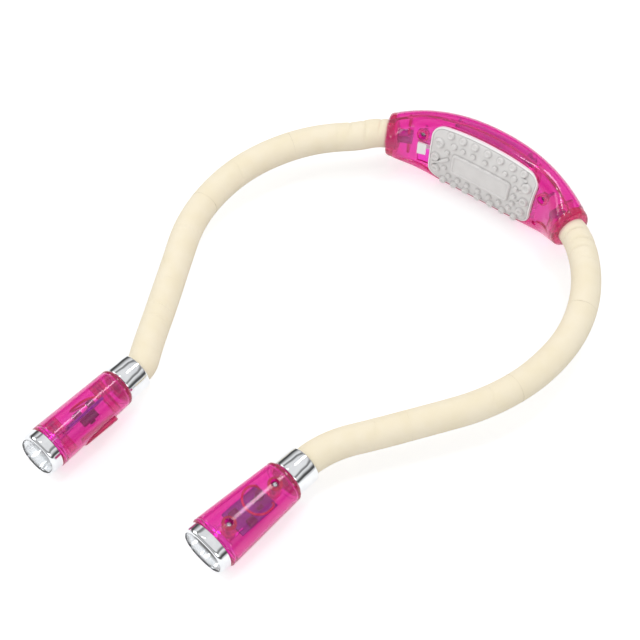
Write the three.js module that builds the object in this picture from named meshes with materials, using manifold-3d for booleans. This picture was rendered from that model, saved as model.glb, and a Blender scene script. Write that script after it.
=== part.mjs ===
// Neck reading light: a curved battery housing that lies on the neck, and two bendable foam
// covered arms that each carry a lamp head with two lights. Millimetres, +Z up, heads towards -Y.
import * as THREE from "three";
import { mergeVertices } from "three/addons/utils/BufferGeometryUtils.js";
import Module from "manifold-3d";

const wasm = await Module();
wasm.setup();

// Fits shared by all pieces
const clearance = 0.3;
const overrun = 2;

// Housing: an arc in plan that swells from round mouths to a tall middle
const housingArcRadius = 150;
const housingEndRoom = 28.449846949787;
const mouthRadius = 12;
const middleHalfHeight = 24;
const middleBackDepth = 13.5;
const middleFaceDepth = 12.5;
const swellPower = 2.5;
const middleSquareness = 0.3;
const housingLean = 12;
const housingWall = 1.5;
const faceRecess = 1;
const faceTurnBlend = 4;
const partingShare = 0.24;
const lipRadius = 1.5;
const mouthSeatLength = 5;
const clampSetback = 12;
const clampWebThickness = 1.6;
const housingCentreHeight = 23.2;

// Battery bay
const cellDiameter = 10.2;
const cellLength = 44;
const cellPitch = 10.5;
const cellCount = 4;
const cellDepthPlace = 0.6;
const cellTipRadius = 2.6;
const cellTipLength = 1;
const contactPlateThickness = 0.5;
const contactPlateHalfDepth = 2.8;
const contactSpringRadius = 2.4;
const contactSpringLength = 2.6;
const contactSpringTopRadius = 1.6;
const bayWebThickness = 1.5;
const cradleRibThickness = 1.4;
const cradleRibPlace = 12;

// Battery door with its soft pad and latch
const doorLength = 74;
const doorHalfHeight = 19.3;
const doorProud = 1.2;
const doorCornerRadius = 7;
const doorRimWidth = 1.1;
const doorTongueWidth = 5;
const doorTongueReach = 2.4;
const doorTongueThickness = 1.3;
const doorTonguePlaces = [-9.4, -1.4];
const doorTongueRoot = 4;
const padProud = 1.7;
const plateLength = 42.5;
const plateHeight = 13.2;
const plateProud = 2.4;
const plateCornerRadius = 2;
const ringNubRadius = 1.8;
const ringNubPitch = 8.8;
const smallNubPitch = 7.6;
const ringNubProud = 2.6;
const cornerNubRadius = 2.5;
const smallNubRadius = 1.2;
const ringRowPlace = 15;
const smallRowPlace = 10.4;
const endColumnDoorInset = 11.6;
const endColumnHeights = [-5.6, 0, 5.2];
const cornerColumnDoorInset = 5.6;
const cornerColumnHeights = [-9, -0.8, 8.6];
const nubHollowDepth = 0.7;
const nubTopShare = 0.72;
const rowNubCount = 7;
const latchGap = 5.6;
const latchHeightPlace = -0.8;
const latchWidth = 7.4;
const latchStemThickness = 1.6;
const latchStemDepth = 5;
const latchProud = 1.4;
const latchThumbReach = 3.6;
const latchThumbThickness = 1.1;
const latchHookReach = 0.8;
const latchHookThickness = 1.1;
const latchFootThickness = 1.2;
const latchRiserThickness = 1.6;
const notchLowReach = 10.2;

// Housing screws
const housingScrewDoorGaps = [5.853255110746, 4.345603372549];
const housingScrewHeights = [7, 5.5];
const blindHoleHeight = -12.2;
const blindHoleDoorGap = 4.345603372549;
const screwHeadRadius = 2.1;
const screwHeadHeight = 1.6;
const screwShankRadius = 1.1;
const screwShankLength = 7;
const screwRecessDepth = 2.2;
const screwFloorThickness = 1.2;
const screwTubeWall = 1.3;
const screwBossWall = 1.2;

// Arms: a bendable core in a foam sleeve, bent in plan by turns in degrees along named stretches
const foamRadius = 8.5;
const coreRadius = 4;
const ballShare = 0.9;
const sleeveClearance = 0.5;
const mouthStretch = 12;
const rootStretch = 12;
const rearStretch = 68;
const middleStretch = 65;
const frontStretch = 60;
const headStretch = 21;
const collarStretch = 9;
const foamIntoHousing = 6;
const foamIntoCollar = 8;
const coreIntoHousing = 15;
const coreIntoHead = 12;
const foamStep = 12;
const coreStep = 11;
const leftTurns = [25.1, -12.3, 39.9, 36.3, -1.6, 3, -31.3];
const rightTurns = [-16.9, -8.2, -43, -32.9, -2.6, 19.1, 10.7];
const leftDrop = 6.6;
const rightDrop = 7.2;

// Heads
const collarRadius = 11;
const collarLength = 14;
const collarEdgeRound = 0.8;
const bodyLength = 52.5;
const bodyRearHalfWidth = 12.3;
const bodyRearHalfThickness = 11.25;
const bodyFrontHalfWidth = 15.5;
const bodyFrontHalfThickness = 12.7;
const bodySquareness = 0.3;
const bodyEdgeRound = 0.9;
const bodyWall = 1.5;
const neckPlugLength = 4.5;
const bezelLength = 6.7;
const bezelHalfWidth = 14.6;
const bezelHalfThickness = 12.55;
const bezelFrontRound = 1.6;
const bezelPlugLength = 4;
const bezelPlugHalfWidth = 13.3;
const bezelPlugHalfThickness = 10.6;
const cupFrontRadius = 7.4;
const cupRearRadius = 3.3;
const cupDepth = 7.8;
const ledSpacing = 9.6;
const ledRadius = 2.5;
const ledLength = 8;
const ledFlangeRadius = 2.9;
const ledFlangeThickness = 1;
const ledIntoCup = 4;
const ledLegWidth = 0.5;
const ledLegSpacing = 2.54;
const ledLegOverlap = 2;
const lensHalfWidth = 12.9;
const lensHalfThickness = 10.7;
const lensThickness = 1.2;
const lensSetback = 0.5;
const boardScrewRoom = 4;
const boardWidth = 16;
const boardThickness = 1.6;
const railLength = 11;
const railWidth = 2.5;
const railThickness = 1.3;
const switchSize = 8;
const switchHeight = 4.5;
const plungerRadius = 1.75;
const plungerHeight = 1.2;
const buttonRearScrewRoom = 2.9;
const buttonWidth = 9;
const buttonFrontScrewRoom = 6.7;
const buttonProud = 1.3;
const buttonRound = 1;
const buttonFlangeWidth = 0.9;
const buttonFlangeThickness = 1.4;
const headScrewFrontInset = 10.4;
const headScrewRearInset = 9.1;
const headScrewFloor = 6.8;
const headScrewOffset = 0.6;
const headBossRadius = 2.5;
const wireRadius = 0.65;
const wireLead = 2;
const wireLoopWidth = 6;
const wireLoopHeight = 6.5;
const wireShoulderShare = 0.7;
const wireFootLeads = 2;
const wireShoulderLeads = 3;
const leftHeadRoll = 63;
const rightHeadRoll = -10;
const leftHeadPitch = 1.3;
const rightHeadPitch = 2.9;

// Facet counts
const sectionPoints = 22;
const headSectionPoints = 20;
const housingStations = 12;
const regionStations = 8;
const foamSides = 12;
const coreSides = 8;
const roundSides = 18;
const screwSides = 8;
const nubSides = 6;
const cornerSteps = 3;
const leastSteps = 4;
const wireSteps = 12;
const wireSides = 5;
const ledSides = 8;
const cupSides = 14;
const cellSides = 12;

const clearMagenta = new THREE.MeshStandardMaterial({
  color: 0xd42a9c,
  roughness: 0.12,
  metalness: 0,
  transparent: true,
  opacity: 0.75,
});
const chrome = new THREE.MeshStandardMaterial({ color: 0xd9dbde, roughness: 0.12, metalness: 1 });
const foam = new THREE.MeshStandardMaterial({ color: 0xf3e8cc, roughness: 0.9, metalness: 0 });
const softGrey = new THREE.MeshStandardMaterial({ color: 0xdcdada, roughness: 0.6, metalness: 0 });
const whitePlastic = new THREE.MeshStandardMaterial({ color: 0xf4f3f1, roughness: 0.4, metalness: 0 });
const coreMetal = new THREE.MeshStandardMaterial({ color: 0x8f9296, roughness: 0.4, metalness: 0.9 });
const screwSteel = new THREE.MeshStandardMaterial({ color: 0xa6a8ac, roughness: 0.35, metalness: 1 });
const cellJacket = new THREE.MeshStandardMaterial({ color: 0x2f3338, roughness: 0.4, metalness: 0.2 });
const springSteel = new THREE.MeshStandardMaterial({ color: 0xc9cbce, roughness: 0.3, metalness: 1 });
const clearLens = new THREE.MeshStandardMaterial({
  color: 0xf4f8fb,
  roughness: 0.05,
  metalness: 0,
  transparent: true,
  opacity: 0.35,
});
const ledEpoxy = new THREE.MeshStandardMaterial({ color: 0xf2f4e6, roughness: 0.15, metalness: 0 });
const boardResin = new THREE.MeshStandardMaterial({ color: 0x2b6b3a, roughness: 0.5, metalness: 0 });
const switchBlack = new THREE.MeshStandardMaterial({ color: 0x1c1c20, roughness: 0.5, metalness: 0 });
const redWire = new THREE.MeshStandardMaterial({ color: 0xc3182b, roughness: 0.45, metalness: 0 });

// Solids: every piece is joined and cut as a closed body, then turned back into a mesh
function solidOf(geometry) {
  const bare = geometry.index ? geometry.toNonIndexed() : geometry.clone();
  bare.deleteAttribute("normal");
  bare.deleteAttribute("uv");
  const merged = mergeVertices(bare);
  return new wasm.Manifold(
    new wasm.Mesh({
      numProp: 3,
      vertProperties: new Float32Array(merged.attributes.position.array),
      triVerts: new Uint32Array(merged.index.array),
    }),
  );
}

function geometryOf(solid) {
  const mesh = solid.getMesh();
  const geometry = new THREE.BufferGeometry();
  const places = new Float32Array(mesh.numVert * 3);
  for (let i = 0; i < mesh.numVert; i++) {
    const start = i * mesh.numProp;
    places.set(mesh.vertProperties.subarray(start, start + 3), i * 3);
  }
  geometry.setAttribute("position", new THREE.BufferAttribute(places, 3));
  geometry.setIndex(new THREE.BufferAttribute(new Uint32Array(mesh.triVerts), 1));
  const faceted = geometry.toNonIndexed();
  faceted.computeVertexNormals();
  return faceted;
}

function joined(solids) {
  return solids.reduce((sum, solid) => sum.add(solid));
}

// A frame is a matrix: its origin and three axes
function frameAt(origin, xAxis, yAxis, zAxis) {
  return new THREE.Matrix4().makeBasis(xAxis, yAxis, zAxis).setPosition(origin);
}

function placed(geometry, frame) {
  return solidOf(geometry.clone().applyMatrix4(frame));
}

// Closed convex rings, skinned in order and capped flat
function loft(rings) {
  const points = rings.flat();
  const count = rings[0].length;
  const index = [];
  for (let r = 0; r + 1 < rings.length; r++) {
    for (let i = 0; i < count; i++) {
      const next = (i + 1) % count;
      const a = r * count + i;
      const b = r * count + next;
      index.push(a, b, a + count, b, b + count, a + count);
    }
  }
  const last = (rings.length - 1) * count;
  for (let i = 1; i + 1 < count; i++) {
    index.push(0, i + 1, i);
    index.push(last, last + i, last + i + 1);
  }
  const geometry = new THREE.BufferGeometry().setFromPoints(points);
  geometry.setIndex(index);
  const solid = solidOf(geometry);
  if (solid.volume() > 0) {
    return solid;
  }
  geometry.setIndex(index.slice().reverse());
  return solidOf(geometry);
}

// A round bar along its frame's Z, between two heights
function bar(radius, from, to, frame, sides = roundSides, endRadius = radius) {
  const geometry = new THREE.CylinderGeometry(endRadius, radius, to - from, sides);
  geometry.rotateX(Math.PI / 2);
  geometry.translate(0, 0, (from + to) / 2);
  return placed(geometry, frame);
}

// A box between two corners of a frame
function block(low, high, frame) {
  const size = new THREE.Vector3().subVectors(high, low);
  const geometry = new THREE.BoxGeometry(size.x, size.y, size.z);
  const middle = new THREE.Vector3().addVectors(low, high).multiplyScalar(1 / 2);
  geometry.translate(middle.x, middle.y, middle.z);
  return placed(geometry, frame);
}

// A profile of radius and height pairs, turned about its frame's Z
function turned(profile, frame, sides = roundSides) {
  const points = profile.map(([radius, height]) => new THREE.Vector2(radius, height));
  const geometry = new THREE.LatheGeometry(points, sides);
  geometry.rotateX(Math.PI / 2);
  const solid = placed(geometry, frame);
  if (solid.volume() > 0) {
    return solid;
  }
  const reversed = new THREE.LatheGeometry(points.slice().reverse(), sides);
  reversed.rotateX(Math.PI / 2);
  return placed(reversed, frame);
}

// A rounded rectangle in a frame's XY plane, drawn out along its Z
function roundedPlate(length, height, cornerRadius, from, to, frame) {
  const shape = new THREE.Shape();
  const x = length / 2 - cornerRadius;
  const y = height / 2 - cornerRadius;
  shape.absarc(x, y, cornerRadius, 0, Math.PI / 2);
  shape.absarc(-x, y, cornerRadius, Math.PI / 2, Math.PI);
  shape.absarc(-x, -y, cornerRadius, Math.PI, (3 * Math.PI) / 2);
  shape.absarc(x, -y, cornerRadius, (3 * Math.PI) / 2, 2 * Math.PI);
  const geometry = new THREE.ExtrudeGeometry(shape, {
    depth: to - from,
    bevelEnabled: false,
    curveSegments: cornerSteps,
  });
  geometry.translate(0, 0, from);
  return placed(geometry, frame);
}

// A profile in a frame's XZ plane, drawn out evenly to both sides along its Y
function drawnAcross(profile, width, frame) {
  const shape = new THREE.Shape(profile.map(([x, z]) => new THREE.Vector2(x, z)));
  const geometry = new THREE.ExtrudeGeometry(shape, { depth: width, bevelEnabled: false });
  geometry.translate(0, 0, -width / 2);
  geometry.rotateX(Math.PI / 2);
  return placed(geometry, frame);
}

const degrees = Math.PI / 180;
const housingHalfLength = doorLength / 2 + housingEndRoom;
const housingHalfAngle = housingHalfLength / housingArcRadius / degrees;

function powered(value, power) {
  return Math.sign(value) * Math.pow(Math.abs(value), power);
}

// Housing surface: places are an angle along the arc, a depth along the leaning depth axis
// (outwards from the neck) and a height along the leaning height axis
function swell(angle) {
  return 1 - Math.pow(Math.min(1, Math.abs(angle) / housingHalfAngle), swellPower);
}

function outwardAt(angle) {
  return new THREE.Vector3(Math.sin(angle * degrees), Math.cos(angle * degrees), 0);
}

const upward = new THREE.Vector3(0, 0, 1);

function depthAxisAt(angle) {
  const lean = housingLean * degrees;
  const outward = outwardAt(angle).multiplyScalar(Math.cos(lean));
  return outward.addScaledVector(upward, -Math.sin(lean));
}

function heightAxisAt(angle) {
  const lean = housingLean * degrees;
  return upward.clone().multiplyScalar(Math.cos(lean)).addScaledVector(outwardAt(angle), Math.sin(lean));
}

function alongAxisAt(angle) {
  return new THREE.Vector3(Math.cos(angle * degrees), -Math.sin(angle * degrees), 0);
}

function centreAt(angle) {
  const place = outwardAt(angle).multiplyScalar(housingArcRadius);
  place.y -= housingArcRadius;
  place.z = housingCentreHeight;
  return place;
}

function housingPoint(angle, depth, height) {
  const place = centreAt(angle);
  place.addScaledVector(depthAxisAt(angle), depth);
  return place.addScaledVector(heightAxisAt(angle), height);
}

// The neck face runs straight behind the door, then turns along the arms
function faceDepthAt(angle) {
  const setBack = housingArcRadius * (1 - Math.cos(angle * degrees));
  const straight = (middleFaceDepth - setBack) / Math.cos(angle * degrees);
  const turnedFace = mouthRadius - ((mouthRadius - middleFaceDepth) * swell(angle)) / 2;
  const doorAngle = Math.asin(doorLength / 2 / housingArcRadius) / degrees;
  const span = housingHalfAngle - doorAngle;
  const t = Math.min(1, Math.max(0, (Math.abs(angle) - doorAngle) / span));
  const blend = t * t * (3 - 2 * t);
  const heldAngle = Math.min(Math.abs(angle), doorAngle + faceTurnBlend);
  const heldBack = housingArcRadius * (1 - Math.cos(heldAngle * degrees));
  const held = (middleFaceDepth - heldBack) / Math.cos(heldAngle * degrees);
  return (Math.abs(angle) > doorAngle ? held : straight) * (1 - blend) + turnedFace * blend;
}

function halfHeightAt(angle) {
  return mouthRadius + (middleHalfHeight - mouthRadius) * swell(angle);
}

function backDepthAt(angle) {
  return mouthRadius + (middleBackDepth - mouthRadius) * swell(angle);
}

function housingRing(angle, inset, shrink = 0, faceInset = inset) {
  const power = 2 / (2 + middleSquareness * swell(angle));
  const ring = [];
  for (let i = 0; i < sectionPoints; i++) {
    const turn = ((i + 0.5) / sectionPoints) * 2 * Math.PI;
    const cosine = Math.cos(turn);
    const reach = cosine > 0 ? backDepthAt(angle) : faceDepthAt(angle);
    const depthInset = cosine > 0 ? inset : faceInset;
    const heightInset = (inset + depthInset) / 2;
    const depth = (reach - depthInset - shrink) * powered(cosine, power);
    const height = (halfHeightAt(angle) - heightInset - shrink) * powered(Math.sin(turn), power);
    ring.push(housingPoint(angle, depth, height));
  }
  return ring;
}

function arcAngle(length) {
  return length / housingArcRadius / degrees;
}

function spread(from, to, count) {
  return Array.from({ length: count + 1 }, (_, i) => from + ((to - from) * i) / count);
}

// The whole housing form, with rounded lips at both mouths
function housingForm(inset, lips = true) {
  const lipAngle = arcAngle(lipRadius);
  const rings = [];
  const lipTurns = spread(0, Math.PI / 2, cornerSteps - 1);
  if (lips) {
    for (const turn of lipTurns.slice(0, -1)) {
      const angle = -housingHalfAngle + lipAngle * (1 - Math.cos(turn));
      rings.push(housingRing(angle, inset, lipRadius * (1 - Math.sin(turn))));
    }
  }
  const limit = housingHalfAngle - (lips ? lipAngle : 0);
  for (const angle of spread(-limit, limit, housingStations)) {
    rings.push(housingRing(angle, inset));
  }
  if (lips) {
    for (const turn of lipTurns.slice(0, -1).reverse()) {
      const angle = housingHalfAngle - lipAngle * (1 - Math.cos(turn));
      rings.push(housingRing(angle, inset, lipRadius * (1 - Math.sin(turn))));
    }
  }
  return loft(rings);
}

// The part of the form between two depths, given as functions of the angle
function depthSlice(nearDepth, farDepth) {
  const reach = middleHalfHeight + overrun;
  const end = housingHalfAngle + arcAngle(overrun);
  return loft(
    spread(-end, end, regionStations).map((angle) => [
      housingPoint(angle, nearDepth(angle), -reach),
      housingPoint(angle, farDepth(angle), -reach),
      housingPoint(angle, farDepth(angle), reach),
      housingPoint(angle, nearDepth(angle), reach),
    ]),
  );
}

function partingAt(angle) {
  return -partingShare * faceDepthAt(Math.max(-housingHalfAngle, Math.min(housingHalfAngle, angle)));
}

const beyond = middleBackDepth + overrun;
const backRegion = depthSlice((angle) => partingAt(angle) + clearance / 2, () => beyond);
const faceRegion = depthSlice(() => -beyond, (angle) => partingAt(angle) - clearance / 2);

// Angle on the arc where a place along the chord lies
function angleAcross(x) {
  return Math.asin(x / housingArcRadius) / degrees;
}

// The door's outline follows the housing: a rounded rectangle bent over the face
function doorWindow(margin, nearDepth) {
  const half = doorLength / 2 + margin;
  const corner = doorCornerRadius + margin;
  const places = [];
  for (const turn of spread(0, Math.PI / 2, cornerSteps)) {
    places.push([-half + corner * (1 - Math.cos(turn)), corner * (1 - Math.sin(turn))]);
  }
  for (const x of spread(-half + corner, half - corner, cornerSteps * 2).slice(1, -1)) {
    places.push([x, 0]);
  }
  for (const turn of spread(Math.PI / 2, 0, cornerSteps)) {
    places.push([half - corner * (1 - Math.cos(turn)), corner * (1 - Math.sin(turn))]);
  }
  return loft(
    places.map(([x, cut]) => {
      const angle = angleAcross(x);
      const height = (doorHalfHeight * halfHeightAt(angle)) / middleHalfHeight + margin - cut;
      return [
        housingPoint(angle, -beyond, -height),
        housingPoint(angle, nearDepth, -height),
        housingPoint(angle, nearDepth, height),
        housingPoint(angle, -beyond, height),
      ];
    }),
  );
}

// A frame on the neck face: X along the housing, Y up the face, Z towards the neck
function faceFrame(angle, height) {
  const outline = (a, h) => {
    const power = 2 + middleSquareness * swell(a);
    const share = Math.pow(Math.abs(h) / (halfHeightAt(a) - faceRecess), power);
    const depth = (faceDepthAt(a) - faceRecess) * Math.pow(Math.max(0, 1 - share), 1 / power);
    return housingPoint(a, -depth, h);
  };
  const origin = outline(angle, height);
  const step = arcAngle(clearance);
  const along = outline(angle + step, height).sub(outline(angle - step, height)).normalize();
  const across = outline(angle, height + clearance).sub(outline(angle, height - clearance));
  const normal = new THREE.Vector3().crossVectors(along, across).normalize();
  return frameAt(origin, along, normal.clone().cross(along), normal);
}

function mouthFrame(side) {
  const angle = side * housingHalfAngle;
  const along = alongAxisAt(angle).multiplyScalar(side);
  const across = upward.clone().cross(along);
  return frameAt(centreAt(angle), across.negate(), upward.clone().negate(), along);
}

const housingSolid = housingForm(0);
const recessedForm = housingForm(faceRecess);
const cavity = (() => {
  const end = housingHalfAngle - arcAngle(mouthSeatLength);
  return loft(
    spread(-end, end, housingStations).map((angle) =>
      housingRing(angle, housingWall, 0, housingWall + faceRecess),
    ),
  );
})();
const sides = [-1, 1];

function mouthBore(side) {
  return bar(foamRadius + clearance, -mouthSeatLength - overrun, overrun, mouthFrame(side));
}

function coreBore(side) {
  return bar(coreRadius + clearance, -coreIntoHousing - overrun, 0, mouthFrame(side), coreSides);
}

// Webs that clamp the arms' cores behind each mouth
function clampWeb(side) {
  const frame = mouthFrame(side);
  const reach = middleHalfHeight + overrun;
  const low = new THREE.Vector3(-reach, -reach, -clampSetback - clampWebThickness);
  const high = new THREE.Vector3(reach, reach, -clampSetback);
  return block(low, high, frame);
}

const webForm = housingForm(faceRecess + clearance, false);
const clampWebs = joined(sides.map(clampWeb)).intersect(webForm);

// Battery bay: four cells side by side, up the leaning height axis
const bayFrame = frameAt(centreAt(0), alongAxisAt(0), depthAxisAt(0), heightAxisAt(0));
const bayHalfLength = cellLength / 2 + cellTipLength;
const contactFace = bayHalfLength + contactSpringLength;
const webFace = contactFace + contactPlateThickness + clearance;

function cellHeight(index) {
  return (index - (cellCount - 1) / 2) * cellPitch;
}

function cellFrame(index) {
  const flip = index % 2 === 0 ? 1 : -1;
  const origin = new THREE.Vector3(0, cellDepthPlace, cellHeight(index)).applyMatrix4(bayFrame);
  const along = alongAxisAt(0).multiplyScalar(flip);
  const across = heightAxisAt(0);
  return frameAt(origin, across, along.clone().cross(across), along);
}

function cellSolid(index) {
  const radius = cellDiameter / 2;
  const half = cellLength / 2;
  const profile = [
    [0, -half],
    [radius, -half],
    [radius, half],
    [cellTipRadius, half],
    [cellTipRadius, half + cellTipLength],
    [0, half + cellTipLength],
  ];
  return turned(profile, cellFrame(index), cellSides);
}

function cellClearing(index) {
  const reach = cellLength / 2;
  return bar(cellDiameter / 2 + clearance, -reach, reach, cellFrame(index), cellSides);
}

function baySlab(x, thickness) {
  const reach = middleHalfHeight + overrun;
  const low = new THREE.Vector3(x - thickness / 2, -reach, -reach);
  const high = new THREE.Vector3(x + thickness / 2, reach, reach);
  return block(low, high, bayFrame);
}

const bayWebPlace = webFace + bayWebThickness / 2;
const cellClearings = joined(Array.from({ length: cellCount }, (_, i) => cellClearing(i)));
const bayBackRegion = depthSlice(() => -(cellDiameter / 2), () => beyond).intersect(backRegion);
const cradleDepth = cellDepthPlace + cellDiameter / 4;
const cradleRegion = depthSlice(() => cradleDepth, () => beyond);
const bayWebs = joined(sides.map((side) => baySlab(side * bayWebPlace, bayWebThickness)))
  .intersect(webForm)
  .intersect(bayBackRegion);
const cradleRibs = joined(sides.map((side) => baySlab(side * cradleRibPlace, cradleRibThickness)))
  .intersect(webForm)
  .intersect(cradleRegion)
  .subtract(cellClearings);

// Screws through the face shell into bosses of the back shell
const screwPlaces = sides.map((side, i) => ({
  angle: angleAcross(side * (doorLength / 2 + housingScrewDoorGaps[i])),
  height: housingScrewHeights[i],
}));

function screwFrame(place) {
  const depth = -faceDepthAt(place.angle);
  const origin = housingPoint(place.angle, depth, place.height);
  const inward = depthAxisAt(place.angle);
  const along = alongAxisAt(place.angle);
  return frameAt(origin, along, inward.clone().cross(along), inward);
}

const screwRecessRadius = screwHeadRadius + clearance;
const screwFloorTop = faceRecess + screwRecessDepth + screwHeadHeight + clearance;
const screwFloorEnd = screwFloorTop + screwFloorThickness;

function screwTube(place) {
  return bar(screwRecessRadius + screwTubeWall, 0, screwFloorEnd, screwFrame(place), screwSides);
}

function screwRecess(place) {
  const frame = screwFrame(place);
  const well = bar(screwRecessRadius, -overrun, screwFloorTop, frame, screwSides);
  const hole = bar(screwShankRadius + clearance, 0, screwFloorEnd + overrun, frame, screwSides);
  return well.add(hole);
}

function screwBoss(place) {
  const frame = screwFrame(place);
  const start = screwFloorEnd + clearance;
  const radius = screwShankRadius + clearance;
  const reach = faceDepthAt(place.angle) + backDepthAt(place.angle);
  const post = bar(radius + screwBossWall, start, reach, frame, screwSides);
  const pilot = bar(radius, start - overrun, start + screwShankLength, frame, screwSides);
  return post.subtract(pilot).intersect(webForm);
}

function screwSolid(frame, headTop) {
  const under = headTop + screwHeadHeight;
  const head = bar(screwHeadRadius, headTop, under, frame, screwSides);
  const shankStart = headTop + screwHeadHeight / 2;
  const shank = bar(screwShankRadius, shankStart, under + screwShankLength, frame, screwSides);
  return head.add(shank);
}

const housingScrewTop = screwFloorTop - clearance - screwHeadHeight;
const doorOpening = doorWindow(clearance, 0);
const doorRoom = housingForm(faceRecess - doorProud, false)
  .subtract(housingForm(faceRecess + housingWall + clearance, false))
  .intersect(doorOpening);
const bores = joined(sides.flatMap((side) => [mouthBore(side), coreBore(side)]));
const bosses = joined(screwPlaces.map(screwBoss));
const shellWork = housingSolid.subtract(cavity).add(clampWebs);
const backShell = shellWork
  .intersect(backRegion)
  .add(bayWebs.subtract(doorRoom))
  .add(cradleRibs)
  .add(bosses)
  .subtract(bores);

// Latch frame on the face, left of the door: X away from the door, Y up the face, Z out
const latchPlace = doorLength / 2 + latchGap;
const latchFace = faceFrame(angleAcross(-latchPlace), latchHeightPlace);
const latchFrame = latchFace.clone().multiply(new THREE.Matrix4().makeRotationZ(Math.PI));
const notchSolid = block(
  new THREE.Vector3(-latchGap - overrun, -latchWidth / 2 - clearance, -housingWall - overrun),
  new THREE.Vector3(latchStemThickness + clearance, notchLowReach, overrun),
  latchFrame,
);
const blindHolePlace = {
  angle: angleAcross(doorLength / 2 + blindHoleDoorGap),
  height: blindHoleHeight,
};
const blindHole = bar(
  screwShankRadius + clearance,
  0,
  faceRecess + housingWall + overrun,
  screwFrame(blindHolePlace),
  screwSides,
);
const mouthBlendAngle = housingHalfAngle - arcAngle(mouthSeatLength + lipRadius);
const mouthBands = joined(
  sides.map((side) =>
    loft(
      spread(mouthBlendAngle, housingHalfAngle + arcAngle(overrun), cornerSteps).map((angle) => {
        const reach = middleHalfHeight;
        const low = housingPoint(side * angle, -reach, -reach);
        const high = housingPoint(side * angle, -reach, reach);
        const farHigh = housingPoint(side * angle, reach, reach);
        const farLow = housingPoint(side * angle, reach, -reach);
        return [low, high, farHigh, farLow];
      }),
    ),
  ),
);
const faceForm = recessedForm.add(housingSolid.intersect(mouthBands));
const faceShell = faceForm
  .subtract(cavity)
  .add(clampWebs)
  .add(joined(screwPlaces.map(screwTube)).intersect(webForm))
  .intersect(faceRegion)
  .subtract(doorOpening)
  .subtract(joined(screwPlaces.map(screwRecess)))
  .subtract(blindHole)
  .subtract(notchSolid)
  .subtract(bores);

// Battery door: a bent plate with a raised rim round the pad, tongues at one end
const doorOuterForm = housingForm(faceRecess - doorProud, false);
const doorInnerForm = housingForm(faceRecess + housingWall, false);
const doorFloorForm = housingForm(faceRecess, false);
const doorBlank = doorOuterForm.intersect(doorWindow(0, 0));
const tongueAngle = angleAcross(doorLength / 2);
const tongues = joined(
  doorTonguePlaces.map((height) => {
    const frame = faceFrame(tongueAngle, height);
    const top = -housingWall - clearance;
    const low = top - doorTongueThickness;
    const rootTop = top + housingWall / 2;
    const profile = [
      [-doorTongueRoot, low],
      [doorTongueReach, low],
      [doorTongueReach, top],
      [-clearance, top],
      [-clearance, rootTop],
      [-doorTongueRoot, rootTop],
    ];
    return drawnAcross(profile, doorTongueWidth, frame);
  }),
);
const padPocket = housingForm(-overrun, false)
  .subtract(doorFloorForm)
  .intersect(doorWindow(-doorRimWidth, 0));
const footTop = -latchStemDepth - clearance;
const footLow = footTop - latchFootThickness;
const riserFace = -latchGap - clearance;
const riserBack = riserFace - latchRiserThickness;
const doorEdgeFrame = faceFrame(angleAcross(-doorLength / 2 + clearance), latchHeightPlace);
const doorEdgePlace = new THREE.Vector3().setFromMatrixPosition(doorEdgeFrame);
const riserTop = doorEdgePlace.applyMatrix4(latchFrame.clone().invert()).z - housingWall / 2;
const latchFoot = drawnAcross(
  [
    [riserBack, footLow],
    [latchStemThickness, footLow],
    [latchStemThickness, footTop],
    [riserFace, footTop],
    [riserFace, riserTop],
    [riserBack, riserTop],
  ],
  latchWidth,
  latchFrame,
);
const doorSolid = doorBlank.subtract(doorInnerForm).subtract(padPocket).add(tongues).add(latchFoot);

// Latch tab: a stem with a thumb lip and a hook below the shell's edge
const latchSolid = drawnAcross(
  [
    [0, -latchStemDepth],
    [latchStemThickness, -latchStemDepth],
    [latchStemThickness, -housingWall - clearance - latchHookThickness],
    [latchStemThickness + latchHookReach, -housingWall - clearance],
    [latchStemThickness, -housingWall - clearance],
    [latchStemThickness, latchProud],
    [-latchThumbReach, latchProud - latchThumbThickness / 2],
    [-latchThumbReach, latchProud - latchThumbThickness],
    [0, latchProud - latchThumbThickness - clearance],
  ],
  latchWidth,
  latchFrame,
);

// Soft pad in the door's rim: a raised centre plate with nubs round it
const padForm = housingForm(faceRecess - padProud, false);
const padFloor = housingForm(faceRecess - clearance, false);
const padBlank = padForm.subtract(padFloor).intersect(doorWindow(-doorRimWidth - clearance, 0));
const plateForm = housingForm(faceRecess - plateProud, false);
const platePrism = roundedPlate(
  plateLength,
  plateHeight,
  plateCornerRadius,
  0,
  beyond,
  frameAt(centreAt(0), alongAxisAt(0), heightAxisAt(0), depthAxisAt(0).negate()),
);
const padMiddle = housingForm(faceRecess - padProud / 2, false);
const padPlate = plateForm.subtract(padMiddle).intersect(platePrism);

function nub(x, height, radius, hollow) {
  const frame = faceFrame(angleAcross(x), height);
  const top = ringNubProud;
  const post = bar(radius, padProud - clearance, top, frame, nubSides, radius * nubTopShare);
  if (!hollow) {
    return post;
  }
  const wellRadius = (radius * nubTopShare) / 2;
  return post.subtract(bar(wellRadius, top - nubHollowDepth, top + overrun, frame, nubSides));
}

const padNubs = [];
for (const side of sides) {
  for (let i = 0; i < rowNubCount; i++) {
    const place = i - (rowNubCount - 1) / 2;
    padNubs.push(nub(place * ringNubPitch, side * ringRowPlace, ringNubRadius, false));
    padNubs.push(nub(place * smallNubPitch, side * smallRowPlace, smallNubRadius, false));
  }
  for (const height of endColumnHeights) {
    padNubs.push(nub(side * (doorLength / 2 - endColumnDoorInset), height, smallNubRadius, false));
  }
  for (const height of cornerColumnHeights) {
    padNubs.push(nub(side * (doorLength / 2 - cornerColumnDoorInset), height, cornerNubRadius, true));
  }
}
const padSolid = joined([padBlank, padPlate, ...padNubs]);

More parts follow.
